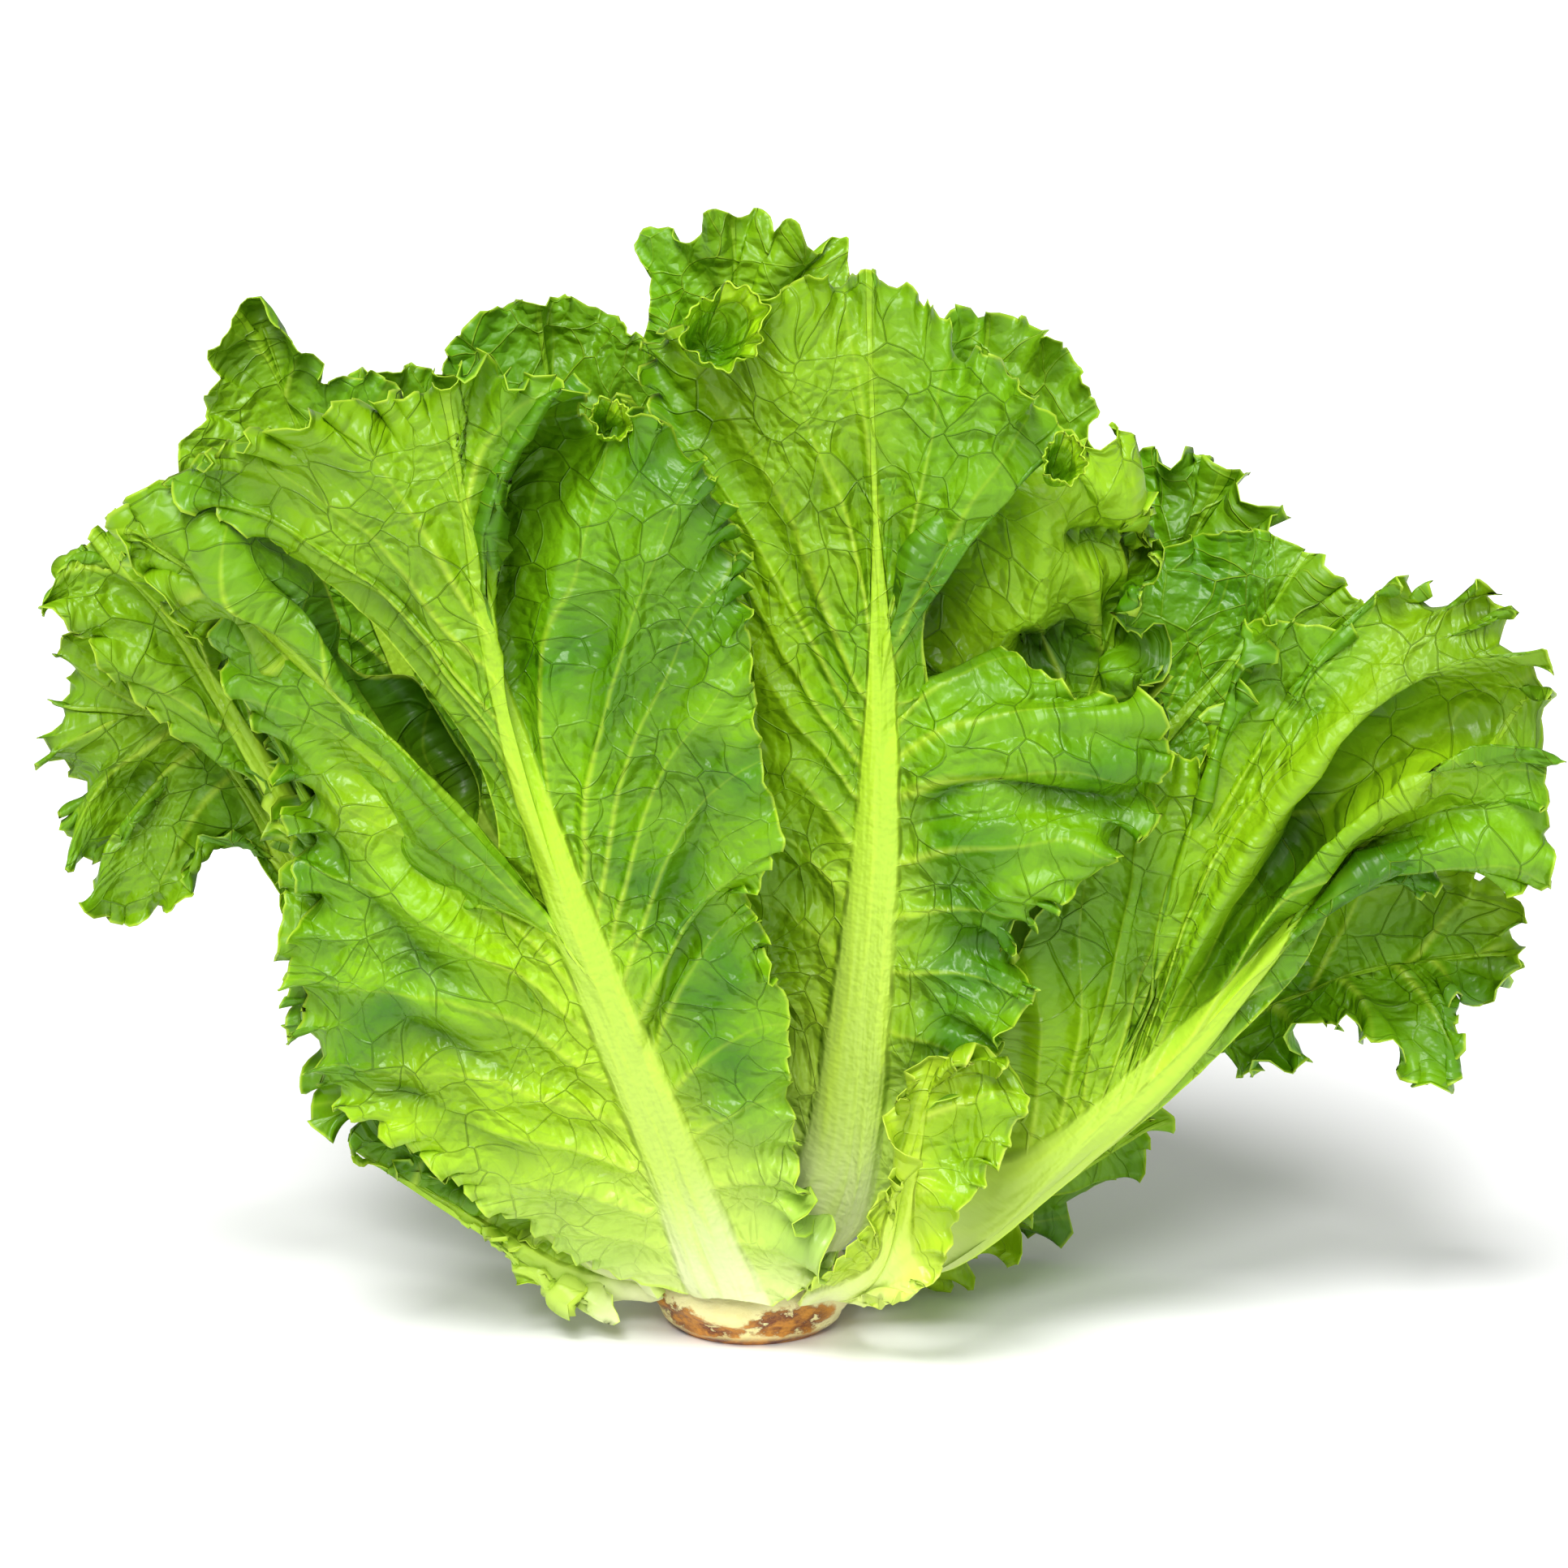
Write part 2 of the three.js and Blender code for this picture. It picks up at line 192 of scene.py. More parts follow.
def make_stem():
    around = np.linspace(0, 2 * math.pi, STEM_AROUND, endpoint=False)
    radii, heights = np.array(STEM_PROFILE).T
    length = np.concatenate([[0], np.cumsum(np.hypot(np.diff(radii), np.diff(heights)))])
    steps = np.linspace(0, length[-1], STEM_UP)
    r = np.interp(steps, length, radii)
    z = np.interp(steps, length, heights)
    turn = around[:, None]
    # Leaf scars: shallow slanting shelves that run part of the way round.
    scar = np.zeros((STEM_AROUND, STEM_UP))
    for start, level, slant in LEAF_SCARS:
        way = (turn - start) % (2 * math.pi)
        edge = level + slant * way
        across = np.clip((z[None] - edge) / 0.9, -3, 3)
        scar += np.exp(-((way - 1.1) / 0.8) ** 2) * np.tanh(across) * np.exp(-(across / 2.4) ** 2)
    lumps = lump(np.linspace(0, 60, STEM_AROUND), 3, LUMP_SIZE)[:, None] * LUMP_HEIGHT
    # Where leaves were torn off, the flesh has dried and shrunk.
    dried = np.zeros((STEM_AROUND, STEM_UP))
    for at, level, wide, tall in SCABS:
        off = (turn - at + math.pi) % (2 * math.pi) - math.pi
        dried += np.exp(-((off / wide) ** 2) - ((z[None] - level) / tall) ** 2)
    relief = scar * SCAR_HEIGHT + lumps - SCAB_DEPTH * np.clip(dried, 0, 1)
    # The relief fades out at the cut edge and at the stem's tip.
    out = r[None] + relief * np.clip(z[None] / 3, 0, 1) * np.clip(r[None] / 10, 0, 1)
    side = np.stack([out * np.sin(turn), -out * np.cos(turn), np.broadcast_to(z, out.shape)], -1)
    # The cut face: rings inwards from the edge, very slightly dished.
    rings = np.linspace(1, 0.02, CUT_RINGS)
    cut = np.stack([
        radii[0] * rings[None] * np.sin(turn),
        -radii[0] * rings[None] * np.cos(turn),
        np.broadcast_to(CUT_DISH * (1 - rings[None]) ** 1.5, (STEM_AROUND, len(rings))),
    ], -1)
    cut[:, 0] = side[:, 0]
    points = np.concatenate([side.reshape(-1, 3), cut.reshape(-1, 3)])
    faces = np.concatenate([
        grid_faces(STEM_AROUND, STEM_UP, True),
        grid_faces(STEM_AROUND, len(rings), True, STEM_AROUND * STEM_UP, turned=True),
    ])
    dried = np.concatenate([dried.ravel(), np.zeros(cut.shape[0] * cut.shape[1])])
    return piece("butt_and_stem", points, faces, [butt_flesh], values={"dried": dried})


stem = make_stem()
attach(stem, "root")
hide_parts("stem")

# ---- The front leaf ----
# The biggest leaf, at the front and left: a thick pale rib that clasps the butt, and a soft
# green blade that grows out of both sides of it, ribbed by side veins, pleated between
# them, and so full at its margin that it frills. Its lower side faces out.
SKIN = 0.55  # thickness of a blade, thinner at its margin
RAY_SPACING = 0.75  # between the lines that run from the rib to the margin, at the margin
RIB_COLUMNS = 9  # steps along each of those lines over the rib
BLADE_COLUMNS = 30  # and from the rib to the margin
MARGIN_COLUMNS = 12  # the last of them, which both sides of the blade have; further in, the upper has fewer
VEIN_SPACING = 21.0  # between side veins, at the margin
BLISTERS = [(13, 1.7), (6, 0.75)]  # how wide and how high the blisters in a blade are
SWELL_SIZE = 38  # of the long swells in a blade
CREASE_SIZES = (22, 30)  # of a crumpled blade's creases, and of the swells among them
RAY_SWEEP = 0.22  # how far a line's control point is pulled towards the tip, as a share of its length
FOOT_OUT = 2.0  # from the stem's skin to the middle of a leaf's foot
TEETH_REACH = 3.5  # about how far in from the margin the teeth stretch the blade
LOBES_REACH = 14  # and how far in the lobes do
TABLE_GAP = 0.7  # the middle of a blade's thickness comes no nearer to the table than this
MAP_UNIT = 0.01  # one unit of the blade's own map is 100 mm
CLOUD_KNOTS = 64
FRILL_WAVES = [  # length of a wave along the margin, how far in it reaches, how far it turns
    (58.0, 22.0, 0.20),
    (25.0, 8.5, 0.42),
    (11.5, 4.8, 1.15),
    (5.8, 2.8, 1.15),
]


def smooth(low, high, x):
    """Rises smoothly from 0 to 1 while x goes from low to high."""
    part = np.clip((x - low) / (high - low), 0, 1)
    return part * part * (3 - 2 * part)


def unit(vectors):
    return vectors / np.maximum(np.linalg.norm(vectors, axis=-1, keepdims=True), 1e-9)


def dot(a, b):
    return np.sum(a * b, -1, keepdims=True)


def cloud(x, y, size, seed):
    """Smooth noise from -1 to 1 over a plane, with lumps about size across."""
    dice = np.random.default_rng(seed)
    knots = dice.uniform(-1, 1, (CLOUD_KNOTS, CLOUD_KNOTS))
    fx, fy = x / size + 17.3, y / size + 11.7
    ix, iy = np.floor(fx).astype(int), np.floor(fy).astype(int)
    px, py = fx - ix, fy - iy
    px, py = px * px * (3 - 2 * px), py * py * (3 - 2 * py)
    corner = [
        [knots[(ix + a) % CLOUD_KNOTS, (iy + b) % CLOUD_KNOTS] for b in (0, 1)] for a in (0, 1)
    ]
    low = corner[0][0] * (1 - px) + corner[1][0] * px
    high = corner[0][1] * (1 - px) + corner[1][1] * px
    return low * (1 - py) + high * py


def curve_through(points, at, steps=None):
    """A smooth curve through points, read at the given places between 0 and 1 along them."""
    points = np.array(points, float)
    if steps is None:
        steps = np.concatenate([[0], np.cumsum(np.linalg.norm(np.diff(points, axis=0), axis=1))])
    steps = np.maximum.accumulate(steps + np.arange(len(steps)) * 1e-6)
    steps = steps / steps[-1]
    slope = np.gradient(points, steps, axis=0)
    k = np.clip(np.searchsorted(steps, at, side="right") - 1, 0, len(steps) - 2)
    wide = (steps[k + 1] - steps[k])[:, None]
    v = (at[:, None] - steps[k][:, None]) / wide
    return (
        (2 * v**3 - 3 * v**2 + 1) * points[k] + (v**3 - 2 * v**2 + v) * wide * slope[k]
        + (3 * v**2 - 2 * v**3) * points[k + 1] + (v**3 - v**2) * wide * slope[k + 1]
    )


def stem_radius(height):
    radii, heights = np.array(STEM_PROFILE).T
    return float(np.interp(height, heights, radii))


class Rib:
    """A leaf's rib: its line from the foot to the tip, and the frame that carries the blade.
    turn is how far round the stem it grows, in degrees from the front, height how high, line
    the points that it runs through, face where its lower side looks, foot half its width at
    the foot, and end the share of its length where it has thinned to nothing."""

    def __init__(self, turn, height, line, face, foot, end=0.95):
        turn = math.radians(turn)
        self.end = end
        out = np.array([math.sin(turn), -math.cos(turn), 0])
        self.radius = stem_radius(height) + FOOT_OUT
        self.foot = foot
        start = out * self.radius
        start[2] = height
        p = np.array([start, *line], float)
        p = np.vstack([2 * p[0] - p[1], p, 2 * p[-1] - p[-2]])
        v = np.linspace(0, 1, 40, endpoint=False)[:, None]
        bits = [
            0.5 * (2 * b + (c - a) * v + (2 * a - 5 * b + 4 * c - d) * v**2 + (3 * b - a - 3 * c + d) * v**3)
            for a, b, c, d in zip(p, p[1:], p[2:], p[3:])
        ]
        fine = np.vstack([*bits, p[-2][None]])
        run = np.concatenate([[0], np.cumsum(np.linalg.norm(np.diff(fine, axis=0), axis=1))])
        self.length = run[-1]
        self.share = np.linspace(0, 1, 301)
        self.centre = np.stack([np.interp(self.share * run[-1], run, fine[:, j]) for j in range(3)], 1)
        self.along = unit(np.gradient(self.centre, axis=0))
        leaving = self.along[0]
        under = out * leaving[2]
        under[2] = -leaving @ out
        face = unit(np.array(face, float))
        turned = smooth(0, 0.4, self.share)[:, None]
        normal = unit(under) * (1 - turned) + face * turned
        self.normal = unit(normal - self.along * dot(normal, self.along))
        self.across = np.cross(self.along, self.normal)

    def at(self, share):
        """The point at a share of the length, and the ways along, out of and across the rib."""
        share = np.clip(share, 0, 1)

        def read(values):
            return np.stack([np.interp(share, self.share, values[:, j]) for j in range(3)], -1)

        return read(self.centre), unit(read(self.along)), unit(read(self.normal)), unit(read(self.across))

    def half_width(self, share):
        flare = 0.25 * np.exp(-share / 0.08)
        return np.maximum(self.foot * (flare + 0.75 * (1 - np.clip(share / self.end, 0, 1) ** 1.9)), 0.5)

    def depth(self, share):
        swell = 0.25 + 0.22 * smooth(0, 0.12, share)
        return self.foot * swell * np.clip(1 - share / self.end, 0, 1) ** 1.1


def toothed(run, dice, pitch, height, rounded=False):
    """The teeth of a margin, or its rounded scallops: how far it stands out along it."""
    count = int(run[-1] / pitch * 1.6) + 4
    places = np.concatenate([[0], np.cumsum(dice.uniform(0.45, 1.55, count) * pitch)])
    tall = dice.uniform(0.35, 1.0, count + 1) ** 1.4 * height
    k = np.searchsorted(places, run, side="right") - 1
    v = (run - places[k]) / (places[k + 1] - places[k])
    if rounded:
        return np.sin(math.pi * v) ** 0.7 * tall[k]
    return np.abs(2 * v - 1) ** 1.4 * np.where(v < 0.5, tall[k], tall[k + 1])


def folded(p, folds):
    """How far the blade stands out in sharp folds. Each fold is a line in the front view,
    how far it stands out (or in), and how wide it is on its left and its right."""
    push = np.zeros(p.shape[:-1])
    x, z = p[..., 0], p[..., 2]
    for line, high, wides in folds:
        line = np.array(line, float)
        bits = np.diff(line, axis=0)
        sizes = np.linalg.norm(bits, axis=1)
        total = sizes.sum()
        nearest = np.full(x.shape, 1e9)
        way = np.zeros(x.shape)
        for k, (a, bit, size) in enumerate(zip(line, bits, sizes)):
            along = np.clip(((x - a[0]) * bit[0] + (z - a[1]) * bit[1]) / size**2, 0, 1)
            off_x, off_z = x - a[0] - along * bit[0], z - a[1] - along * bit[1]
            away = np.hypot(off_x, off_z)
            left = bit[0] * off_z - bit[1] * off_x > 0
            near = away < np.abs(nearest)
            nearest = np.where(near, np.where(left, away, -away), nearest)
            way = np.where(near, (sizes[:k].sum() + along * size) / total, way)
        wide = np.where(nearest > 0, wides[0], wides[1])
        ends = smooth(0, 0.22, way) * (1 - smooth(0.78, 1, way))
        push += high * ends * np.exp(-np.sqrt(nearest**2 + 0.3) / wide)
    return push


def grow_leaf(
    name, rib, veins, seed, materials, frill=1.0, spacing=RAY_SPACING, columns=BLADE_COLUMNS,
    teeth=(2.8, 0.95), scallops=(6.8, 1.8), puff=1.4, sway=2.5, lobes=(0.0, 50.0), crumple=0.0,
    tone=0.0, tip_tone=0.0, folds=(),
):
    """Builds a leaf on its rib. veins are the lines from the rib to the margin, from the
    foot's left end round the tip to its right end, each one (share of the rib's length where
    it starts, end point, how much the margin frills there, how far its middle bows); the last
    two may be left out. teeth and scallops are their spacing and height, lobes how far the
    margin swings and how long a swing is. puff is how far the blade sinks between its side
    veins, sway and crumple how high its swells and creases are, tone and tip_tone how dark it
    and its tip are, and folds what folded() takes."""
    dice = np.random.default_rng(seed)
    starts = [vein[0] for vein in veins]
    ends = np.array([vein[1] for vein in veins], float)
    frills = [vein[2] if len(vein) > 2 else 0 for vein in veins]
    bows = [vein[3] if len(vein) > 3 else (0, 0, 0) for vein in veins]
    gaps = np.linalg.norm(np.diff(ends, axis=0), axis=1)
    steps = np.concatenate([[0], np.cumsum(gaps)])
    # The lines stand closer together where the margin frills.
    fine = np.linspace(0, steps[-1], 4000)
    apart = spacing * (1.9 - 0.9 * np.clip(np.interp(fine, steps, frills), 0, 1))
    counted = np.concatenate([[0], np.cumsum((1 / apart[1:] + 1 / apart[:-1]) / 2 * np.diff(fine))])
    rows = int(counted[-1])
    places = np.interp(np.linspace(0, counted[-1], rows), counted, fine) / steps[-1]
    end = curve_through(ends, places, steps)
    bow = curve_through(bows, places, steps)
    root = np.interp(places * steps[-1], steps, starts)
    full = np.interp(places * steps[-1], steps, frills) * frill
    start, along, out, across = rib.at(root)
    middle = (start + end) / 2 + bow
    reach = np.linalg.norm(end - start, axis=1)
    sideways, upwards = dot(end - start, across)[:, 0], dot(end - start, along)[:, 0]
    flat = unit(np.stack([sideways, upwards], 1))
    run = places * steps[-1]
    tip = run[np.argmin(np.abs(flat[:, 0]) + (root < root.max() - 0.2) * 9)]

    # Places along each line: close together over the rib and near the margin.
    inner = np.clip(rib.half_width(root) * 1.15 / np.maximum(reach * np.abs(flat[:, 0]), 1e-3), 0.02, 0.42)
    over_rib = np.linspace(0, 1, RIB_COLUMNS, endpoint=False)[None] * inner[:, None]
    v = np.linspace(0, 1, columns)
    v = 0.2 * v + 0.8 * (1 - (1 - v) ** 2)
    t = np.concatenate([over_rib, inner[:, None] + (1 - inner[:, None]) * v[None]], 1)
    pull = 2 * middle - (start + end) / 2 + along * (RAY_SWEEP * reach)[:, None]
    t3 = t[..., None]
    p = (1 - t3) ** 2 * start[:, None] + 2 * t3 * (1 - t3) * pull[:, None] + t3**2 * end[:, None]

    def facing(p):
        down, round_ = np.gradient(p, axis=1), np.gradient(p, axis=0)
        n = unit(np.cross(unit(round_), unit(down)))
        near = 1 - smooth(0, 1, t3 / np.maximum(inner[:, None, None] * 1.6, 1e-3))
        return unit(n * (1 - near) + out[:, None] * near)

    n = facing(p)
    bits = np.diff(p, axis=1)
    length = np.linalg.norm(bits, axis=2)
    inwards = np.concatenate([np.zeros((rows, 1)), np.cumsum(length, 1)], 1)
    to_margin = inwards[:, -1:] - inwards
    heading = np.concatenate([dot(bits, across[:, None]), dot(bits, along[:, None])], -1)
    heading = unit(heading + 0.15 * length[..., None] * flat[:, None]) * length[..., None]
    spread = np.concatenate([np.zeros((rows, 1, 2)), np.cumsum(heading, 1)], 1)
    flat_x, flat_y = spread[..., 0], root[:, None] * rib.length + spread[..., 1]
    share = np.clip(flat_y / rib.length, 0, 1)
    round_gap = np.linalg.norm(np.gradient(p, axis=0), axis=2)

    # The frill: the blade turns up and down along each line, more and more to the margin.
    turn = np.zeros_like(length)
    slide = np.zeros((rows, t.shape[1]))
    mid_margin = (to_margin[:, 1:] + to_margin[:, :-1]) / 2
    for k, (wave, depth, angle) in enumerate(FRILL_WAVES):
        phase = 2 * math.pi * run / wave + 2.2 * lump(run, seed * 7 + k, wave * 1.7)
        strong = angle * (0.75 + 0.45 * lump(run, seed * 11 + k, wave * 2.3)) * full
        turn += strong[:, None] * np.sin(phase)[:, None] * np.exp(-mid_margin / depth)
        slide -= (0.10 * wave * strong * np.sin(2 * phase))[:, None] * np.exp(-to_margin / depth)
    turn = 2.2 * np.tanh(turn / 2.2)
    way = bits / np.maximum(length[..., None], 1e-9)
    mid_n = unit(n[:, 1:] + n[:, :-1])
    moved = length[..., None] * (np.cos(turn)[..., None] * way + np.sin(turn)[..., None] * mid_n)
    round_margin = unit(np.gradient(p, axis=0))
    standing_out = toothed(run, dice, *teeth) + toothed(run, dice, *scallops, rounded=True)
    standing_out = standing_out * np.clip(full * 1.5, 0.1, 1)
    lobe = lobes[0] * lump(run, seed + 5, lobes[1]) * full
    outwards = standing_out[:, None] * np.exp(-to_margin / TEETH_REACH)
    outwards = outwards + lobe[:, None] * np.exp(-to_margin / LOBES_REACH)
    p = np.concatenate([p[:, :1], p[:, :1] + np.cumsum(moved, 1)], 1)
    out_of_margin = unit(np.gradient(p, axis=1))
    p = p + round_margin * slide[..., None] + out_of_margin * outwards[..., None]

    # Side veins stand out of the lower side, and the blade is puffed in between them.
    n = facing(p)
    number = (run - tip)[:, None] / VEIN_SPACING + (
        0.3 * cloud(flat_x, flat_y, 40, seed + 1) + 0.12 * cloud(flat_x, flat_y, 15, seed + 10)
    )
    off = number - np.round(number)
    gap = VEIN_SPACING * round_gap / np.maximum(round_gap[:, -1:], 1e-6)
    out_share = inwards / np.maximum(inwards[:, -1:], 1e-6)
    vein_high = 0.2 + 1.1 * (1 - out_share) ** 1.3
    vein_wide = 0.6 + 1.7 * (1 - out_share)
    clear = smooth(2.2, 5.5, gap / vein_wide)
    wide = rib.half_width(share)
    beside = np.abs(flat_x) / wide
    off_rib = smooth(0.7, 1.5, beside)
    ridge = vein_high * np.exp(-((off * gap / vein_wide) ** 2)) * clear * off_rib
    body = np.sin(math.pi * np.clip(out_share, 0, 1)) ** 0.6 * off_rib
    hollow = -puff * np.sin(math.pi * off) ** 2 * body * smooth(5, 16, gap)
    blister = body * sum(
        high * cloud(flat_x, flat_y, size, seed + 2 + k) for k, (size, high) in enumerate(BLISTERS)
    )
    swell = sway * cloud(flat_x, flat_y, SWELL_SIZE, seed + 4) * smooth(0.05, 0.5, out_share)
    creases = 1 - 3.0 * np.abs(cloud(flat_x, flat_y, CREASE_SIZES[0], seed + 6))
    creases = creases + 0.5 * cloud(flat_x, flat_y, CREASE_SIZES[1], seed + 7)
    crease = crumple * smooth(0.1, 0.4, out_share) * creases
    fold = folded(p, folds) * smooth(0.8, 2.0, beside)
    p = p + n * (ridge + hollow + blister + swell + crease + fold)[..., None]
    # Painted shade: the deeper a point sinks in a hollow, crease or fold, the darker it is painted.
    sunk = np.clip(-(0.6 * hollow + blister + 0.6 * swell + crease + 1.2 * fold) / 4.5, 0, 1)
    # A blade that hangs low bends away above the table.
    p[..., 2] = TABLE_GAP + 1.2 * np.logaddexp(0, (p[..., 2] - TABLE_GAP) / 1.2)

    # The rib itself, and the blade's two skins.
    bulge = rib.depth(share) * (1 - np.clip(beside, 0, 1) ** 2.2) ** 0.8
    n = facing(p)
    half_skin = SKIN / 2 * (0.4 + 0.6 * smooth(0, 3, to_margin))
    outer = p + n * (half_skin + bulge)[..., None]
    inner_skin = p - n * (half_skin + 0.12 * bulge)[..., None]
    width = t.shape[1]
    # The upper side needs fewer columns away from the margin.
    kept = np.concatenate([
        [0], np.arange(3, RIB_COLUMNS, 3),
        np.arange(RIB_COLUMNS, width - MARGIN_COLUMNS, 2), np.arange(width - MARGIN_COLUMNS, width),
    ])
    points = np.concatenate([outer.reshape(-1, 3), inner_skin[:, kept].reshape(-1, 3)])
    count = rows * width
    outer_faces = grid_faces(rows, width, False)
    inner_faces = grid_faces(rows, len(kept), False, count, turned=True)
    i = np.arange(rows - 1)
    edge = i * width + width - 1
    under = count + i * len(kept) + len(kept) - 1
    rim = np.stack([edge, edge + width, under + len(kept), under], 1)
    faces = np.concatenate([outer_faces, inner_faces, rim])
    which = np.concatenate([np.zeros(len(outer_faces)), np.ones(len(inner_faces)), np.zeros(len(rim))])

    def twice(x):
        inside = x.reshape(rows, width, -1)[:, kept]
        return np.concatenate([x.reshape(count, -1), inside.reshape(rows * len(kept), -1)])

    return piece(
        name, points, faces, materials, which,
        uv={
            "blade": twice(np.stack([flat_x, flat_y], -1)) * MAP_UNIT,
            "veins": twice(np.stack([number, inwards / VEIN_SPACING], -1)),
        },
        values={
            "vein_gap": twice(gap)[:, 0],
            "margin": twice(to_margin)[:, 0],
            "along": twice(share)[:, 0],
            "beside_rib": twice(beside)[:, 0],
            "out_share": twice(out_share)[:, 0],
            "sunk": twice(sunk)[:, 0],
            "tone": twice(tone + tip_tone * smooth(0.45, 0.8, share))[:, 0],
        },
    )


CELLS = 12.5  # of the net of veins, in one unit of the blade's map
FINE_CELLS = 26
FOOT_GREEN = (0.70, 0.82, 0.28)
RIB_FOOT_WHITE = (0.72, 0.77, 0.41)


def make_leaf_skin(name, deep, fresh, light, vein, net_dark, glow, rib_pale):
    """One side of the blade. deep, fresh and light are the greens of the blade, vein the side
    veins, net_dark how much darker the net of small veins is, or how much paler if it's below
    0, glow the light that comes through, and rib_pale the rib."""
    material, add = nodes_of(name)

    def maths(kind, a, b=0.0, clamp=False):
        node = add("Math", {"operation": kind, "use_clamp": clamp}, i0=a, i1=b)
        return node.outputs[0]

    def ramp(value, low, high, start=0.0, end=1.0):
        settings = {"interpolation_type": "SMOOTHSTEP"}
        return add("MapRange", settings, Value=value, i1=low, i2=high, i3=start, i4=end).outputs[0]

    def blend(share, a, b):
        mixed = add("Mix", {"data_type": "RGBA"}, i0=share)
        for socket, value in ((6, a), (7, b)):
            if isinstance(value, tuple):
                mixed.inputs[socket].default_value = (*value, 1)
            else:
                mixed.id_data.links.new(value, mixed.inputs[socket])
        return mixed.outputs[2]

    def read(key):
        return add("Attribute", {"attribute_name": key}).outputs["Fac"]

    def noise(place, scale, detail, **more):
        settings = {"noise_dimensions": "2D"}
        return add("TexNoise", settings, Vector=place, Scale=scale, Detail=detail, **more)

    def net_of(place, scale):
        settings = {"feature": "DISTANCE_TO_EDGE", "voronoi_dimensions": "2D"}
        return add("TexVoronoi", settings, Vector=place, Scale=scale).outputs[0]

    blade = add("UVMap", {"uv_map": "blade"}).outputs[0]
    lines = add("UVMap", {"uv_map": "veins"}).outputs[0]
    margin, along, beside = read("margin"), read("along"), read("beside_rib")
    out_share, gap = read("out_share"), read("vein_gap")
    tone, sunk = read("tone"), read("sunk")

    # The net of small veins: cells between the side veins, and smaller cells inside them.
    drift = noise(blade, 5.5, 0).outputs["Color"]
    drift = add("VectorMath", {"operation": "SCALE"}, i0=drift, Scale=0.09).outputs[0]
    bent = add("VectorMath", {"operation": "ADD"}, i0=blade, i1=drift).outputs[0]
    cells, fine_cells = net_of(bent, CELLS), net_of(bent, FINE_CELLS)
    faint = noise(blade, 6, 0).outputs["Fac"]
    on_rib = maths("MULTIPLY", ramp(beside, 0.86, 1.1, 1.0, 0.0), ramp(along, 0.55, 0.9, 1.0, 0.25))
    off_rib = maths("SUBTRACT", 1.0, on_rib)
    leafy = maths("MULTIPLY", off_rib, ramp(gap, 3.0, 9.0))
    leafy = maths("MULTIPLY", leafy, ramp(along, 0.02, 0.2, 0.2, 1.0))
    shown = maths("MULTIPLY", ramp(faint, 0.35, 0.65, 0.35, 1.0), leafy)
    net = maths("MULTIPLY", ramp(cells, 0.0, 0.030, 1.0, 0.0), shown)
    fine_net = maths("MULTIPLY", ramp(fine_cells, 0.0, 0.08, 1.0, 0.0), off_rib)

    # The side veins, thinner and fainter towards the margin.
    number = add("SeparateXYZ", Vector=lines).outputs["X"]
    off = maths("ABSOLUTE", maths("SUBTRACT", maths("FRACT", maths("ADD", number, 0.5)), 0.5))
    away = maths("MULTIPLY", off, gap)
    thick = ramp(out_share, 0.0, 0.9, 1.5, 0.35)
    side_vein = maths("SUBTRACT", 1.0, maths("DIVIDE", away, thick), clamp=True)
    side_vein = maths("MULTIPLY", side_vein, ramp(gap, 1.5, 6.0))

    # Colour: clouds of green, painted shade where the blade sinks, paler to the foot, the rib paler
    #     # still, and a bright thin rim, partly the margin's paler tissue and partly a painted highlight.
    big = noise(blade, 3.2, 2, Roughness=0.55).outputs["Fac"]
    patch = noise(blade, 1.3, 1).outputs["Fac"]
    green = blend(ramp(big, 0.18, 0.60), deep, fresh)
    green = blend(maths("MULTIPLY", ramp(patch, 0.42, 0.66), 0.75), green, light)
    green = blend(tone, green, deep)
    # Painted shade: darker green where the blade sinks into its hollows, creases and folds.
    green = blend(maths("MULTIPLY", sunk, 0.8), green, tuple(c * 0.6 for c in deep))
    green = blend(maths("MULTIPLY", fine_net, abs(net_dark) * 0.5), green, deep)
    shade = tuple(c * 0.45 for c in deep)
    net_colour = shade if net_dark > 0 else vein
    green = blend(maths("MULTIPLY", net, abs(net_dark)), green, net_colour)
    green = blend(maths("MULTIPLY", side_vein, ramp(out_share, 0.1, 0.8, 0.62, 0.18)), green, vein)
    near_rib = maths("MULTIPLY", ramp(beside, 0.9, 3.0, 1.0, 0.0), ramp(along, 0.1, 0.75, 0.45, 0.05))
    green = blend(near_rib, green, vein)
    foot_pale = maths("MAXIMUM", ramp(along, 0.0, 0.12, 0.9, 0.0), ramp(along, 0.06, 0.28, 0.35, 0.0))
    green = blend(foot_pale, green, FOOT_GREEN)
    streaks = add("Mapping", Vector=blade, Scale=(14, 1.1, 1)).outputs[0]
    streak = noise(streaks, 2.4, 2).outputs["Fac"]
    rib_tip = tuple(0.55 * a + 0.45 * b for a, b in zip(vein, fresh))
    rib_green = blend(ramp(along, 0.1, 0.62), rib_pale, rib_tip)
    rib_green = blend(ramp(along, 0.02, 0.2, 1.0, 0.0), rib_green, RIB_FOOT_WHITE)
    rib_green = blend(maths("MULTIPLY", ramp(streak, 0.45, 0.75), 0.35), rib_green, vein)
    green = blend(on_rib, green, rib_green)
    # The rim: paler margin tissue, with a painted highlight on top of it.
    rim = ramp(margin, 0.05, 0.7, 0.6, 0.0)
    green = blend(rim, green, tuple(min(1.0, 1.1 * c) for c in vein))

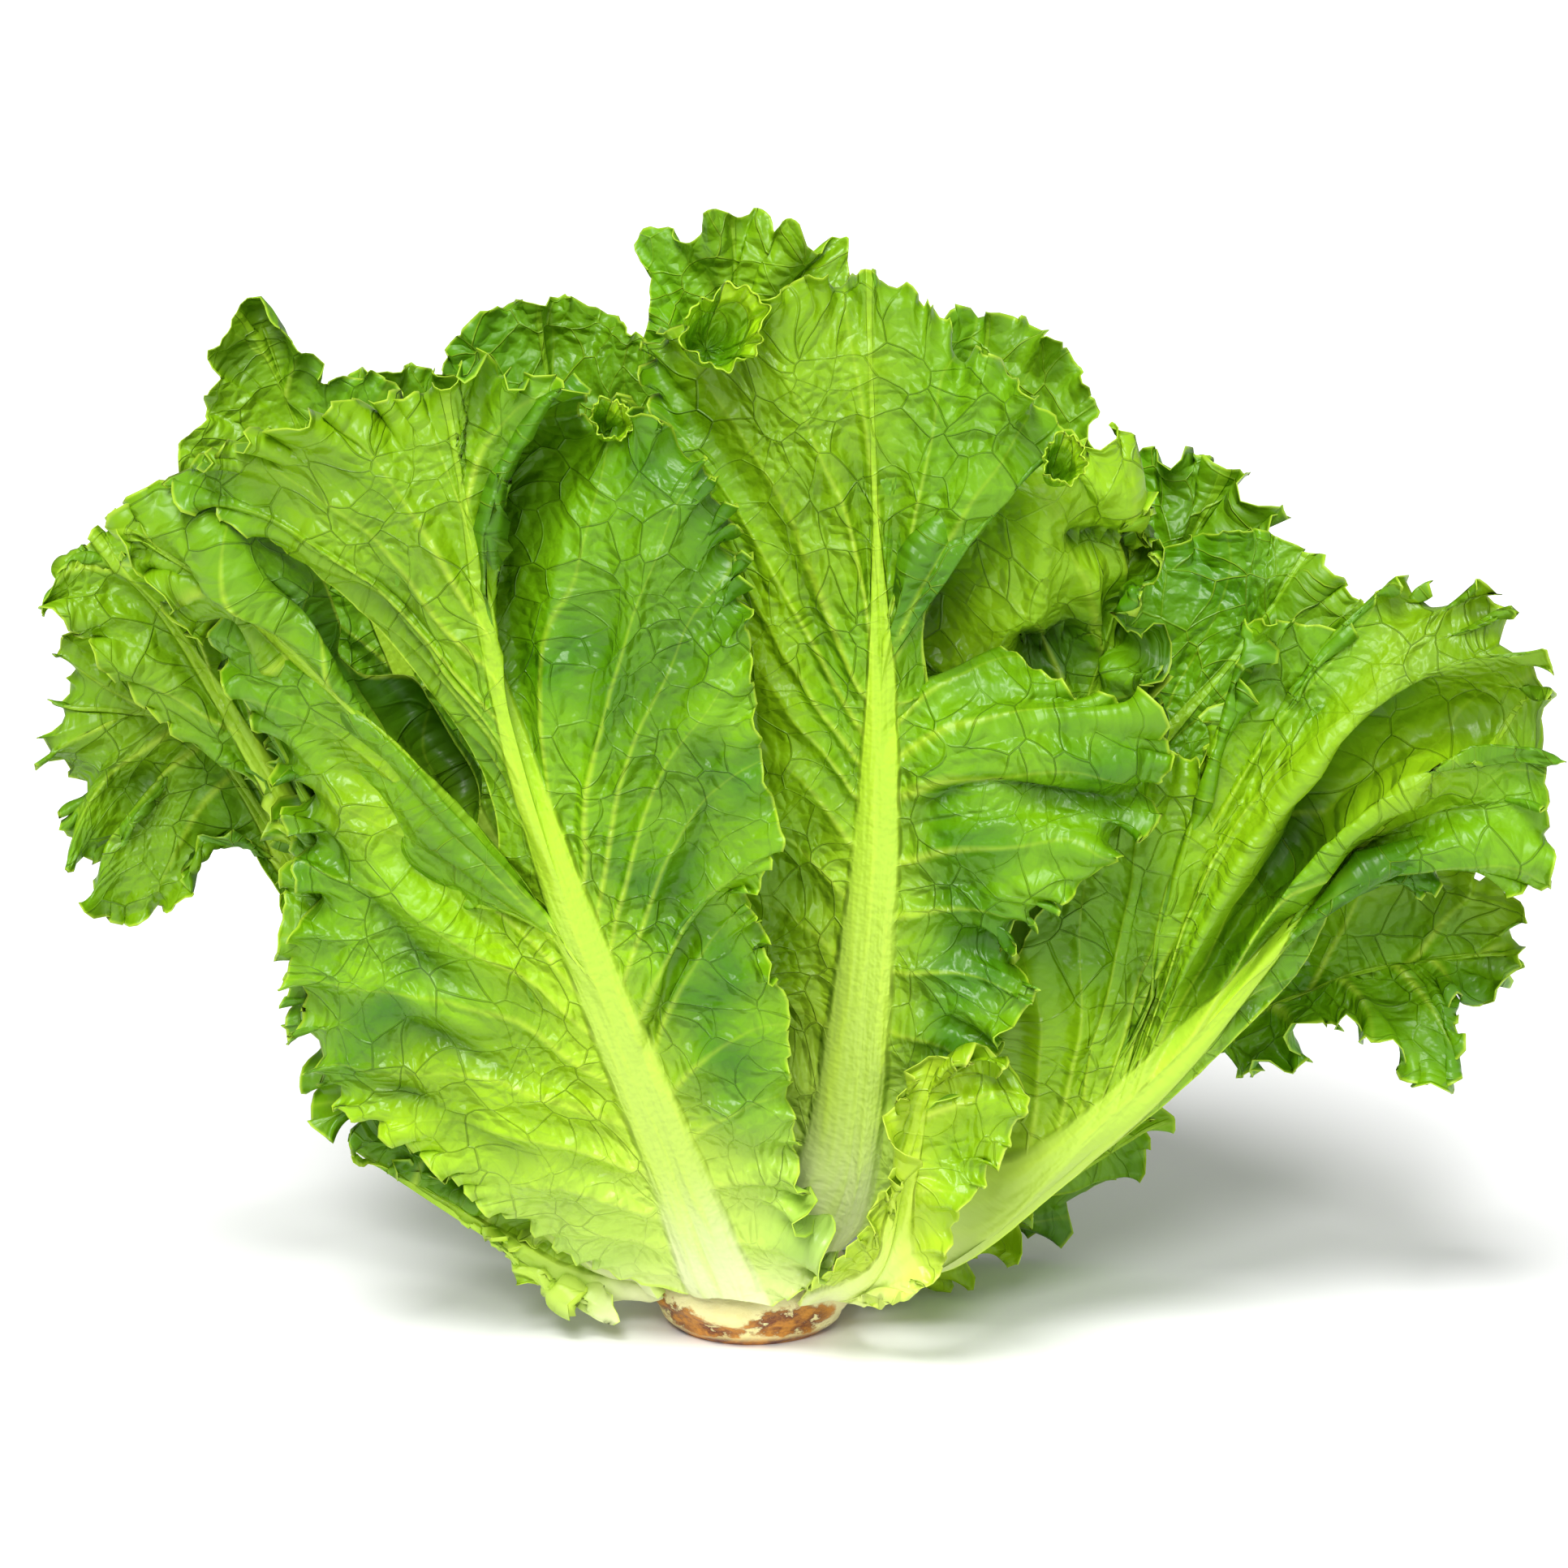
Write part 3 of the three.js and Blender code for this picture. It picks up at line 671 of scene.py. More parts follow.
    # Relief: the small veins and cells, and a fine grain.
    grain = noise(blade, 60, 1).outputs["Fac"]
    puffed = maths("MULTIPLY", ramp(cells, 0.0, 0.35), shown)
    fine_puffed = maths("MULTIPLY", ramp(fine_cells, 0.0, 0.4), off_rib)
    relief = maths("MULTIPLY", net, 0.22)
    relief = maths("ADD", relief, maths("MULTIPLY", puffed, -0.6))
    relief = maths("ADD", relief, maths("MULTIPLY", fine_puffed, -0.22))
    relief = maths("ADD", relief, maths("MULTIPLY", grain, 0.16))
    relief = maths("ADD", relief, maths("MULTIPLY", streak, maths("MULTIPLY", on_rib, 0.5)))
    bump = add("Bump", Height=relief, Strength=0.85, Distance=0.002).outputs[0]
    gloss = ramp(big, 0.3, 0.7, 0.32, 0.45)

    skin = add("BsdfPrincipled", Base_Color=green, Roughness=gloss, Normal=bump)
    skin.inputs["Specular IOR Level"].default_value = 0.40
    skin.inputs["Coat Weight"].default_value = 0.04
    skin.inputs["Coat Roughness"].default_value = 0.16
    through = blend(0.55, green, glow)
    shine_through = add("BsdfTranslucent", Color=through, Normal=bump)
    solid = maths("MULTIPLY", maths("MAXIMUM", on_rib, foot_pale), 0.16)
    both = add("MixShader", i0=maths("SUBTRACT", 0.18, solid))
    both.id_data.links.new(skin.outputs[0], both.inputs[1])
    both.id_data.links.new(shine_through.outputs[0], both.inputs[2])
    add("OutputMaterial", Surface=both.outputs[0])
    return material


OUTER_SKINS = [
    make_leaf_skin(
        "outer_leaf_lower_side", (0.060, 0.235, 0.001), (0.265, 0.565, 0.0015), (0.46, 0.74, 0.006),
        (0.56, 0.78, 0.045), 0.24, (0.55, 0.80, 0.01), (0.47, 0.64, 0.10),
    ),
    make_leaf_skin(
        "outer_leaf_upper_side", (0.060, 0.235, 0.001), (0.18, 0.45, 0.0015), (0.31, 0.59, 0.005),
        (0.45, 0.70, 0.03), -0.3, (0.45, 0.75, 0.01), (0.58, 0.72, 0.16),
    ),
]

FRONT_LEAF_VEINS = [
    (0.01, (-13.5, -18.5, 12)), (0.03, (-35, -20, 19), 0.3, (0, -2, 0)),
    (0.06, (-53, -24, 32), 0.5, (0, -3, 0)), (0.1, (-65, -27, 45), 0.6, (0, -4, 0)),
    (0.14, (-77, -29, 54), 0.65, (0, -4, 0)), (0.18, (-89, -30, 58), 0.7, (0, -4, 0)),
    (0.215, (-93, -31, 71), 0.65, (0, -4, 0)), (0.25, (-96, -32, 87), 0.6, (0, -4, 0)),
    (0.28, (-92, -33, 101), 0.7, (0, -4, 0)), (0.305, (-93, -34, 114), 0.7, (0, -4, 1)),
    (0.33, (-97, -34, 130), 0.7, (0, -3, 2)), (0.35, (-103, -34, 146), 0.8, (1, -3, 3)),
    (0.365, (-109, -34, 159), 0.9, (2, -5, 3)), (0.375, (-101, -33, 158), 0.5, (2, -6, 3)),
    (0.385, (-90, -34, 144), 0.1, (1, -5, 2)), (0.395, (-81, -36, 129), 0, (0, -3, 1)),
    (0.41, (-70, -38, 112)), (0.43, (-58, -42, 103)), (0.455, (-52, -47, 115)),
    (0.475, (-55, -48, 132)), (0.49, (-60, -48, 142)), (0.53, (-68, -48, 154), 0, (0, -1, 0)),
    (0.56, (-76, -48, 164), 0, (1, -2, 1)), (0.58, (-85, -48, 173), 0.05, (2, -2, 2)),
    (0.6, (-96, -48, 182), 0.1, (2, -3, 3)), (0.62, (-107, -47, 187), 0.4, (2, -3, 4)),
    (0.65, (-117, -46, 191), 1, (2, -3, 4)), (0.69, (-108, -50, 198), 1, (0, -2, 2)),
    (0.73, (-95, -53, 205), 1, (0, -2, 1)), (0.77, (-81, -55, 209), 1, (0, -2, 0)),
    (0.81, (-69, -56, 211), 1, (0, -1, 0)), (0.87, (-61, -57, 214), 1), (0.93, (-53, -58, 219), 1),
    (0.88, (-45, -57, 216), 1, (0, -1, 0)), (0.8, (-37, -56, 215), 0.9, (0, -1, 0)),
    (0.7, (-33, -55, 213), 0.6, (-6, -2, 3)), (0.62, (-34, -46, 208), 0.2, (-13, 2, 8)),
    (0.57, (-34, -40, 205), 0.1, (-15, 5, 9)), (0.53, (-33, -43, 206), 0.4, (-10, 3, 5)),
    (0.5, (-26, -50, 209), 1, (-4, -1, 2)), (0.48, (-19, -53, 208), 1, (0, -2, 0)),
    (0.46, (-12, -58, 203), 1, (0, -3, 0)), (0.44, (-6, -61, 194), 0.9, (0, -3, 0)),
    (0.42, (-2, -62, 180), 0.8, (0, -3, 0)), (0.4, (0, -62, 166), 0.6, (0, -3, 0)),
    (0.37, (1, -62, 150), 0.35, (0, -3, 0)), (0.34, (3, -61, 133), 0.35, (0, -3, 0)),
    (0.315, (6, -61, 119), 0.4, (0, -3, 0)), (0.29, (-1, -55, 110), 0.6),
    (0.27, (2, -54, 101), 0.8, (0, -1, 0)), (0.24, (7, -51, 85), 0.45, (0, -2, 0)),
    (0.2, (8, -48, 68), 0.45, (0, -2, 0)), (0.16, (9, -44, 52), 0.55, (0, -2, 0)),
    (0.12, (13, -36, 37), 1, (0, -2, 0)), (0.08, (18, -32, 27), 1, (0, -2, 0)),
    (0.045, (13, -28, 19), 0.6, (0, -1, 0)), (0.01, (4.5, -25.5, 12)),
]
rib = Rib(-12, 12.5, [(-16, -35, 48), (-37, -50, 106), (-51, -57, 160), (-60, -58, 213)], (0, -1, 0.1), 9.5)
FRONT_LEAF_FOLDS = [
    ([(-109, 159), (-100, 150), (-90, 135), (-80, 120), (-72, 109), (-58, 98), (-44, 87)], 4, (3, 6)),
    ([(-104, 144), (-92, 124), (-83, 108), (-70, 93), (-55, 81)], -4, (5, 3)),
    ([(-52, 200), (-51, 177), (-49, 157), (-46, 139)], -2.2, (3, 2)),
    ([(-34, 200), (-38, 177), (-41, 152), (-38, 130)], 2, (3.5, 2.5)),
    ([(-10, 187), (-12, 167), (-20, 152), (-31, 144), (-34, 131)], -2.6, (5, 2.5)),
    ([(-4, 149), (-7, 134), (-12, 117), (-20, 102)], -2.5, (3, 5)),
    ([(-77, 79), (-61, 72), (-45, 65)], -3, (2.2, 4)),
    ([(-82, 64), (-62, 56), (-42, 47)], -2.6, (2.2, 4)),
    ([(-88, 91), (-71, 84), (-53, 75)], 2.2, (3, 3)),
]
front_leaf = grow_leaf(
    "front_leaf", rib, FRONT_LEAF_VEINS, 11, OUTER_SKINS, tip_tone=0.5, folds=FRONT_LEAF_FOLDS
)
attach(front_leaf, "root")
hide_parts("front_leaf")

# ---- The three leaves at the left ----
# Two leaves whose ribs come out from behind the front leaf's rib, and one further back.
# They lie pressed together in long folds, with their frilled tips at the far left.
LEFT_LEAVES = {  # name: what its Rib takes, and the lines from it to the margin
    "upper_left_leaf": (
        (-36, 19, [(-40, -32, 71), (-66, -40, 122), (-100, -42, 163), (-130, -40, 185)], (-0.1, -1, 0.3), 8),
        [
            (0.01, (-16.5, -10, 19)), (0.2, (-47, -28, 68)), (0.35, (-59, -30, 91), 0, (0, 3, 0)),
            (0.48, (-72, -30, 110), 0, (0, 4, 0)), (0.58, (-83, -29, 123), 0, (0, 5, 0)),
            (0.68, (-94, -29, 137), 0.2, (0, 5, 0)), (0.76, (-104, -31, 150), 0.5, (0, 4, 0)),
            (0.84, (-114, -33, 161), 0.8, (0, 2, 0)), (0.9, (-123, -37, 173), 1),
            (0.96, (-128, -40, 183), 1), (0.9, (-120, -38, 188), 0.8, (0, -2, 1)),
            (0.82, (-108, -38, 185), 0.3, (0, -7, 3)), (0.74, (-95, -37, 179), 0, (0, -9, 3)),
            (0.68, (-86, -37, 172), 0, (0, -9, 2)), (0.62, (-81, -34, 163), 0, (0, -6, 1)),
            (0.56, (-76, -27, 149), 0, (0, 3, 0)), (0.5, (-68, -27, 141), 0, (0, 7, 0)),
            (0.42, (-59, -29, 127), 0, (0, 6, 0)), (0.32, (-53, -31, 107), 0, (0, 4, 0)),
            (0.2, (-40, -33, 76)), (0.01, (-7, -17, 19)),
        ],
    ),
    "lower_left_leaf": (
        (-62, 12, [(-50, -19, 46), (-73, -27, 88), (-90, -30, 120), (-99, -30, 140)], (-0.2, -1, 0.1), 9.5),
        [
            (0.01, (-23.5, -2, 12)), (0.06, (-39, -10, 16), 0.4),
            (0.13, (-55, -14, 32), 0.8, (0, -1, 0)), (0.2, (-67, -17, 45), 0.8, (0, -2, 0)),
            (0.27, (-80, -20, 49), 1, (0, -2, 0)), (0.34, (-92, -22, 53), 1, (0, -3, 0)),
            (0.42, (-96, -24, 71), 1, (0, -3, 0)), (0.5, (-98, -25, 86), 1, (0, -3, 0)),
            (0.58, (-96, -26, 101), 0.8, (0, -3, 0)), (0.66, (-96, -26, 115), 1, (0, -2, 0)),
            (0.74, (-97, -26, 127), 1, (0, -2, 0)), (0.82, (-103, -26, 141), 1, (0, -2, 0)),
            (0.9, (-107, -26, 151), 1), (0.86, (-99, -26, 149), 0.7), (0.76, (-90, -26, 139), 0.1),
            (0.66, (-81, -26, 123)), (0.54, (-72, -26, 106)), (0.42, (-62, -26, 92)),
            (0.28, (-49, -25, 69)), (0.14, (-35, -21, 43)), (0.01, (-18, -14.5, 12)),
        ],
    ),
    "left_leaf": (
        (-88, 19, [(-58, -11, 52), (-92, -16, 110), (-120, -18, 158), (-142, -16, 178)], 
         (-0.2, -1, 0.2), 7.5),
        [
            (0.01, (-19.5, 5, 19)), (0.16, (-61, -8, 40)), (0.28, (-79, -10, 66), 0.3),
            (0.36, (-89, -12, 85), 0.9), (0.44, (-96, -13, 100), 1, (0, -1, 0)),
            (0.5, (-97, -14, 112), 1, (0, -2, 0)), (0.55, (-101, -15, 120), 0.5, (0, -2, 0)),
            (0.6, (-111, -15, 129), 0.3, (0, -2, 0)), (0.65, (-120, -16, 136), 0.3, (0, -2, 0)),
            (0.71, (-128, -17, 144), 0.4, (0, -2, 0)), (0.77, (-134, -18, 151), 0.5, (0, -2, 0)),
            (0.84, (-140, -18, 158), 0.8, (0, -1, 0)), (0.92, (-147, -17, 161), 1),
            (0.97, (-145, -17, 168), 1), (0.93, (-138, -18, 171), 1, (0, -1, 0)),
            (0.87, (-135, -18, 178), 1, (0, -2, 0)), (0.8, (-127, -18, 182), 1, (0, -2, 0)),
            (0.72, (-113, -17, 173), 0.6, (0, -2, 0)), (0.62, (-102, -16, 154), 0.2),
            (0.5, (-89, -14, 131)), (0.36, (-76, -13, 106)), (0.18, (-56, -10, 63)),
            (0.01, (-19.5, -6, 19)),
        ],
    ),
}
UPPER_LEFT_FOLDS = [
    ([(-124, 188), (-108, 174), (-96, 157), (-87, 147), (-79, 138), (-67, 119), (-53, 103), (-41, 92)],
     7.5, (4.5, 2.2)),
    ([(-115, 162), (-103, 150), (-94, 138), (-83, 121), (-72, 107), (-59, 93)], -7, (2, 4)),
    ([(-102, 179), (-88, 168), (-76, 152), (-65, 132), (-54, 115)], -7, (2.4, 3.6)),
    ([(-97, 191), (-83, 178), (-73, 161), (-62, 141), (-54, 124)], 3, (3, 3)),
]
for number, (name, (growth, veins)) in enumerate(LEFT_LEAVES.items()):
    leaf = grow_leaf(
        name, Rib(*growth), veins, 21 + number, OUTER_SKINS, spacing=0.8,
        puff=2.4, sway=3.5, tone=0.55, folds=UPPER_LEFT_FOLDS if name == "upper_left_leaf" else (),
    )
    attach(leaf, "root")
    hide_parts(name)

# ---- The drooping leaf at the left and the torn one under it ----
# A leaf that hangs over at the far left on a long bare rib, and a narrow torn strip of
# leaf next to the table.
LOW_LEFT_LEAVES = {  # name: what its Rib takes, and the lines from it to the margin
    "drooping_left_leaf": (
        (-109, 10, [(-61, 11, 38), (-94, 8, 92), (-114, 6, 126), (-128, 3, 134), (-142, 2, 132)], 
         (-0.2, -1, 0.2), 7),
        [
            (0.01, (-22, -1.5, 10)), (0.2, (-64, -1, 45)), (0.4, (-89, 2, 78)), (0.55, (-103, 4, 99)),
            (0.64, (-110, 3, 109), 0.3), (0.7, (-119, 0, 104), 0.8, (0, 0, -2)),
            (0.74, (-120, -2, 98), 1, (0, -2, -2)), (0.78, (-127, -3, 92), 1, (0, -3, -2)),
            (0.82, (-134, -2, 89), 1, (0, -4, -1)), (0.84, (-141, 0, 96), 1, (0, -4, 0)),
            (0.86, (-134, 1, 102), 0.7, (0, -2, 0)), (0.88, (-146, 0, 104), 1, (0, -4, 0)),
            (0.91, (-145, 0, 114), 1, (0, -4, 0)), (0.95, (-150, 0, 126), 1, (0, -3, 0)),
            (0.92, (-148, 0, 136), 1, (0, -3, 0)), (0.9, (-145, 2, 141), 0.8, (0, -3, 0)),
            (0.86, (-146, 2, 149), 1, (0, -3, 0)), (0.8, (-141, 2, 154), 1, (0, -2, 0)),
            (0.74, (-130, 3, 150), 1, (0, -2, 0)), (0.66, (-118, 4, 138), 0.5, (0, -1, 0)),
            (0.55, (-104, 5, 115)), (0.4, (-85, 4, 86)), (0.2, (-57, 1, 51)), (0.01, (-18, 13, 10)),
        ],
    ),
    "low_left_leaf": (
        (-74, 8.5, [(-38, -11, 12), (-60, -13, 26), (-87, -13, 44)], (-0.3, -0.9, -0.3), 5),
        [
            (0.01, (-20.5, -0.5, 9)), (0.12, (-32, -12, 12)), (0.2, (-30, -13, 9), 0.4),
            (0.24, (-29, -15, 4), 0.4, (0, 0, -1)), (0.26, (-31, -15, 5), 0.4, (0, 0, -1)),
            (0.28, (-36, -13, 11), 0.4), (0.3, (-38, -14, 7), 0.8, (0, 0, -1)),
            (0.34, (-41, -13, 12), 0.6), (0.4, (-50, -14, 14), 0.8), (0.48, (-50, -14, 18), 0.6),
            (0.58, (-56, -14, 25), 0.8), (0.68, (-60, -14, 34), 0.8), (0.8, (-70, -14, 38), 0.8),
            (0.88, (-77, -14, 38), 1), (0.97, (-86, -14, 44), 1), (0.9, (-78, -13, 48), 0.5),
            (0.7, (-63, -12, 40)), (0.5, (-50, -12, 29)), (0.3, (-36, -11, 19)),
            (0.01, (-18, -10.5, 9)),
        ],
    ),
}
for number, (name, (growth, veins)) in enumerate(LOW_LEFT_LEAVES.items()):
    leaf = grow_leaf(
        name, Rib(*growth), veins, 26 + number, OUTER_SKINS, frill=0.7, spacing=0.95, tone=0.5
    )
    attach(leaf, "root")
    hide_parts(name)

# ---- The centre leaf ----
# A tall leaf right of the front one: a straight pale rib, a fan of veins at the top, and
# two folded lobes on its right.
CENTRE_LEAF_VEINS = [
    (0.01, (6, -19.5, 19)), (0.08, (10, -18, 31)), (0.16, (5, -22, 52)), (0.25, (0, -26, 80)),
    (0.33, (-3, -30, 105)), (0.4, (-5, -33, 132)), (0.46, (-7, -35, 156)),
    (0.5, (-10, -36, 176), 0.2, (-3, 0, 0)), (0.53, (-14, -37, 195), 0.4, (-4, 0, 0)),
    (0.555, (-20, -38, 208), 0.8, (-4, 0, 2)), (0.575, (-22, -39, 218), 1, (-4, -1, 2)),
    (0.59, (-15, -41, 223), 1, (-3, -2, 1)), (0.605, (-9, -42, 226), 1, (-2, -3, 0)),
    (0.62, (-3, -42, 228), 1, (-1, -3, 0)), (0.64, (4, -41, 230), 1, (0, -3, 0)),
    (0.66, (13, -40, 232), 1, (0, -3, 0)), (0.69, (20, -40, 233), 1, (0, -3, 0)),
    (0.66, (28, -41, 232), 1, (1, -3, 0)), (0.645, (37, -43, 226), 1, (2, -4, 0)),
    (0.635, (45, -44, 219), 1, (3, -4, 0)), (0.63, (54, -45, 212), 1, (3, -4, 0)),
    (0.625, (63, -45, 203), 1, (3, -3, -1)), (0.62, (56, -43, 197), 0.7, (-1, -3, 0)),
    (0.615, (46, -42, 191), 0.2, (-3, -3, 1)), (0.61, (41, -41, 182), 0, (-3, -3, 1)),
    (0.605, (37, -39, 170), 0, (-2, -1, 0)), (0.6, (35, -37, 156)), (0.59, (38, -34, 145)),
    (0.575, (45, -32, 147)), (0.56, (52, -30, 155), 0.1), (0.545, (61, -35, 149), 0.4, (0, -1, 0)),
    (0.53, (72, -39, 143), 0.8, (0, -2, 0)), (0.515, (83, -41, 140), 1, (0, -3, 0)),
    (0.5, (85, -42, 132), 0.8, (0, -4, 0)), (0.485, (83, -42.5, 129), 0.6, (0, -4, 0)),
    (0.475, (84, -42.5, 125), 0.8, (0, -4, 0)), (0.465, (80, -42, 120), 1, (0, -3, 0)),
    (0.42, (71, -43, 111), 1, (0, -3, 0)), (0.39, (61, -44, 103), 1, (0, -3, 0)),
    (0.36, (52, -43, 92), 1, (0, -2, 0)), (0.33, (58, -43, 86), 1, (0, -2, 0)),
    (0.29, (51, -41, 74), 1, (0, -1, 0)), (0.24, (45, -37, 63), 1, (0, -1, 0)),
    (0.18, (38, -33, 52), 0.4), (0.12, (32, -27, 39)), (0.06, (26, -19, 28)),
    (0.01, (17.5, -10.5, 19)),
]
rib = Rib(34, 19, [(20, -24, 50), (26, -36, 115), (26, -42, 170), (20, -40, 234)], (0, -1, 0), 10.5, end=0.80)
CENTRE_LEAF_FOLDS = [
    ([(29, 123), (38, 126), (43, 130), (50, 131), (61, 128), (74, 127), (87, 128)], -5, (1.4, 2.8)),
    ([(31, 118), (46, 121), (61, 121), (76, 119)], 3, (3, 5)),
    ([(28, 125), (39, 135), (54, 137), (69, 135), (86, 133)], 2.5, (4, 4)),
    ([(18, 127), (9, 145), (7, 162), (1, 181), (-4, 190)], 1.8, (1.6, 1.6)),
    ([(21, 135), (16, 152), (10, 170), (8, 187)], -2.2, (2, 3)),
    ([(28, 140), (22, 160), (18, 180), (16, 200)], 1.6, (1.6, 2.2)),
    ([(3, 129), (0, 146), (-1, 163), (-5, 180)], -2.4, (2.5, 3)),
    ([(46, 105), (61, 110), (74, 113)], 2.4, (3, 3)),
    ([(38, 93), (49, 95), (63, 105)], -2.6, (2, 3.5)),
]
centre_leaf = grow_leaf(
    "centre_leaf", rib, CENTRE_LEAF_VEINS, 31, OUTER_SKINS, puff=1.3, tone=0.3, tip_tone=0.15,
    folds=CENTRE_LEAF_FOLDS,
)
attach(centre_leaf, "root")
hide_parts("centre_leaf")

# The fullest parts of the margins close up into small ruffled cups, open to the front.
CURLS = [  # leaf, middle of the cup's foot, middle of its mouth, radius
    ("centre_leaf", (-8.6, -43.6, 219.0), (-4.6, -52.5, 224.6), 6.6),
    ("centre_leaf", (61, -44, 193), (63, -51, 198), 3.8),
    ("front_leaf", (-29, -50, 203), (-27, -57, 207), 3.4),
]
CURL_AROUND = 120
CURL_STEPS = 18


def make_curl(name, foot, mouth, size, shift):
    turn = np.linspace(0, 2 * math.pi, CURL_AROUND, endpoint=False)[:, None]
    out = np.linspace(0, 1, CURL_STEPS)[None]

    def ring(k, by=0.0):
        return np.sin(k * turn + by + shift)

    ripple = 0.55 * ring(6, 1.0) + 0.45 * ring(10, 2.0) + 0.35 * ring(17, 0.4)
    radius = 0.04 + 0.96 * np.sqrt(np.clip(out / 0.7, 0, 1))
    lip = smooth(0.72, 1, out)
    radius = radius * (1 + 0.12 * ring(2) + 0.08 * ring(3)) + lip * (0.24 + 0.16 * ripple)
    middle = np.array(foot) + (np.array(mouth) - foot) * (out**1.3)[..., None]
    waves = 0.17 * ring(4, 0.7) + 0.14 * ring(9) + 0.08 * ring(19, 1.3)
    forwards = size * smooth(0.3, 1, out) * (waves - 0.1 * lip)
    outer = middle + np.stack([size * radius * np.sin(turn), -forwards, size * radius * np.cos(turn)], -1)
    inner = outer + unit(middle + [0, -1, 0] - outer) * SKIN * (1 - 0.3 * out[..., None])
    points = np.concatenate([outer.reshape(-1, 3), inner.reshape(-1, 3)])
    count = CURL_AROUND * CURL_STEPS
    start = np.arange(CURL_AROUND) * CURL_STEPS
    after = np.roll(start, -1)
    rim, rim_after = start + CURL_STEPS - 1, after + CURL_STEPS - 1
    faces = np.concatenate([
        grid_faces(CURL_AROUND, CURL_STEPS, True),
        grid_faces(CURL_AROUND, CURL_STEPS, True, count, turned=True),
        np.stack([rim, rim_after, rim_after + count, rim + count], 1)[:, ::-1],
        np.stack([start, after, after + count, start + count], 1),
    ])
    sheet = np.tile(out[0, 1:] < 0.75, CURL_AROUND)  # the lip turns its lower side forwards
    which = np.concatenate([0 * sheet, sheet, np.zeros(2 * CURL_AROUND)])
    deep = 2.2 * size  # from the cup's foot to its lip, along the blade

    def twice(x):
        return np.concatenate([np.broadcast_to(x, (CURL_AROUND, CURL_STEPS)).ravel()] * 2)

    return piece(
        name, points, faces, OUTER_SKINS, which,
        uv={
            "blade": np.stack([twice(turn * size), twice(out * deep)], -1) * MAP_UNIT,
            "veins": np.stack([twice(turn / 2.2), twice(1.3 - 0.6 * out)], -1),
        },
        values={
            "vein_gap": np.full(2 * count, VEIN_SPACING), "margin": twice((1 - out) * deep),
            "along": np.full(2 * count, 0.9), "beside_rib": np.full(2 * count, 9.0),
            "out_share": twice(0.7 + 0.3 * out), "tone": twice(0.2 * (1 - out)),
        },
    )


for number, (leaf_name, foot, mouth, size) in enumerate(CURLS):
    curl = make_curl(f"curled_edge_{number}", foot, mouth, size, 1.7 * number)
    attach(curl, "root")
    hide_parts(leaf_name)

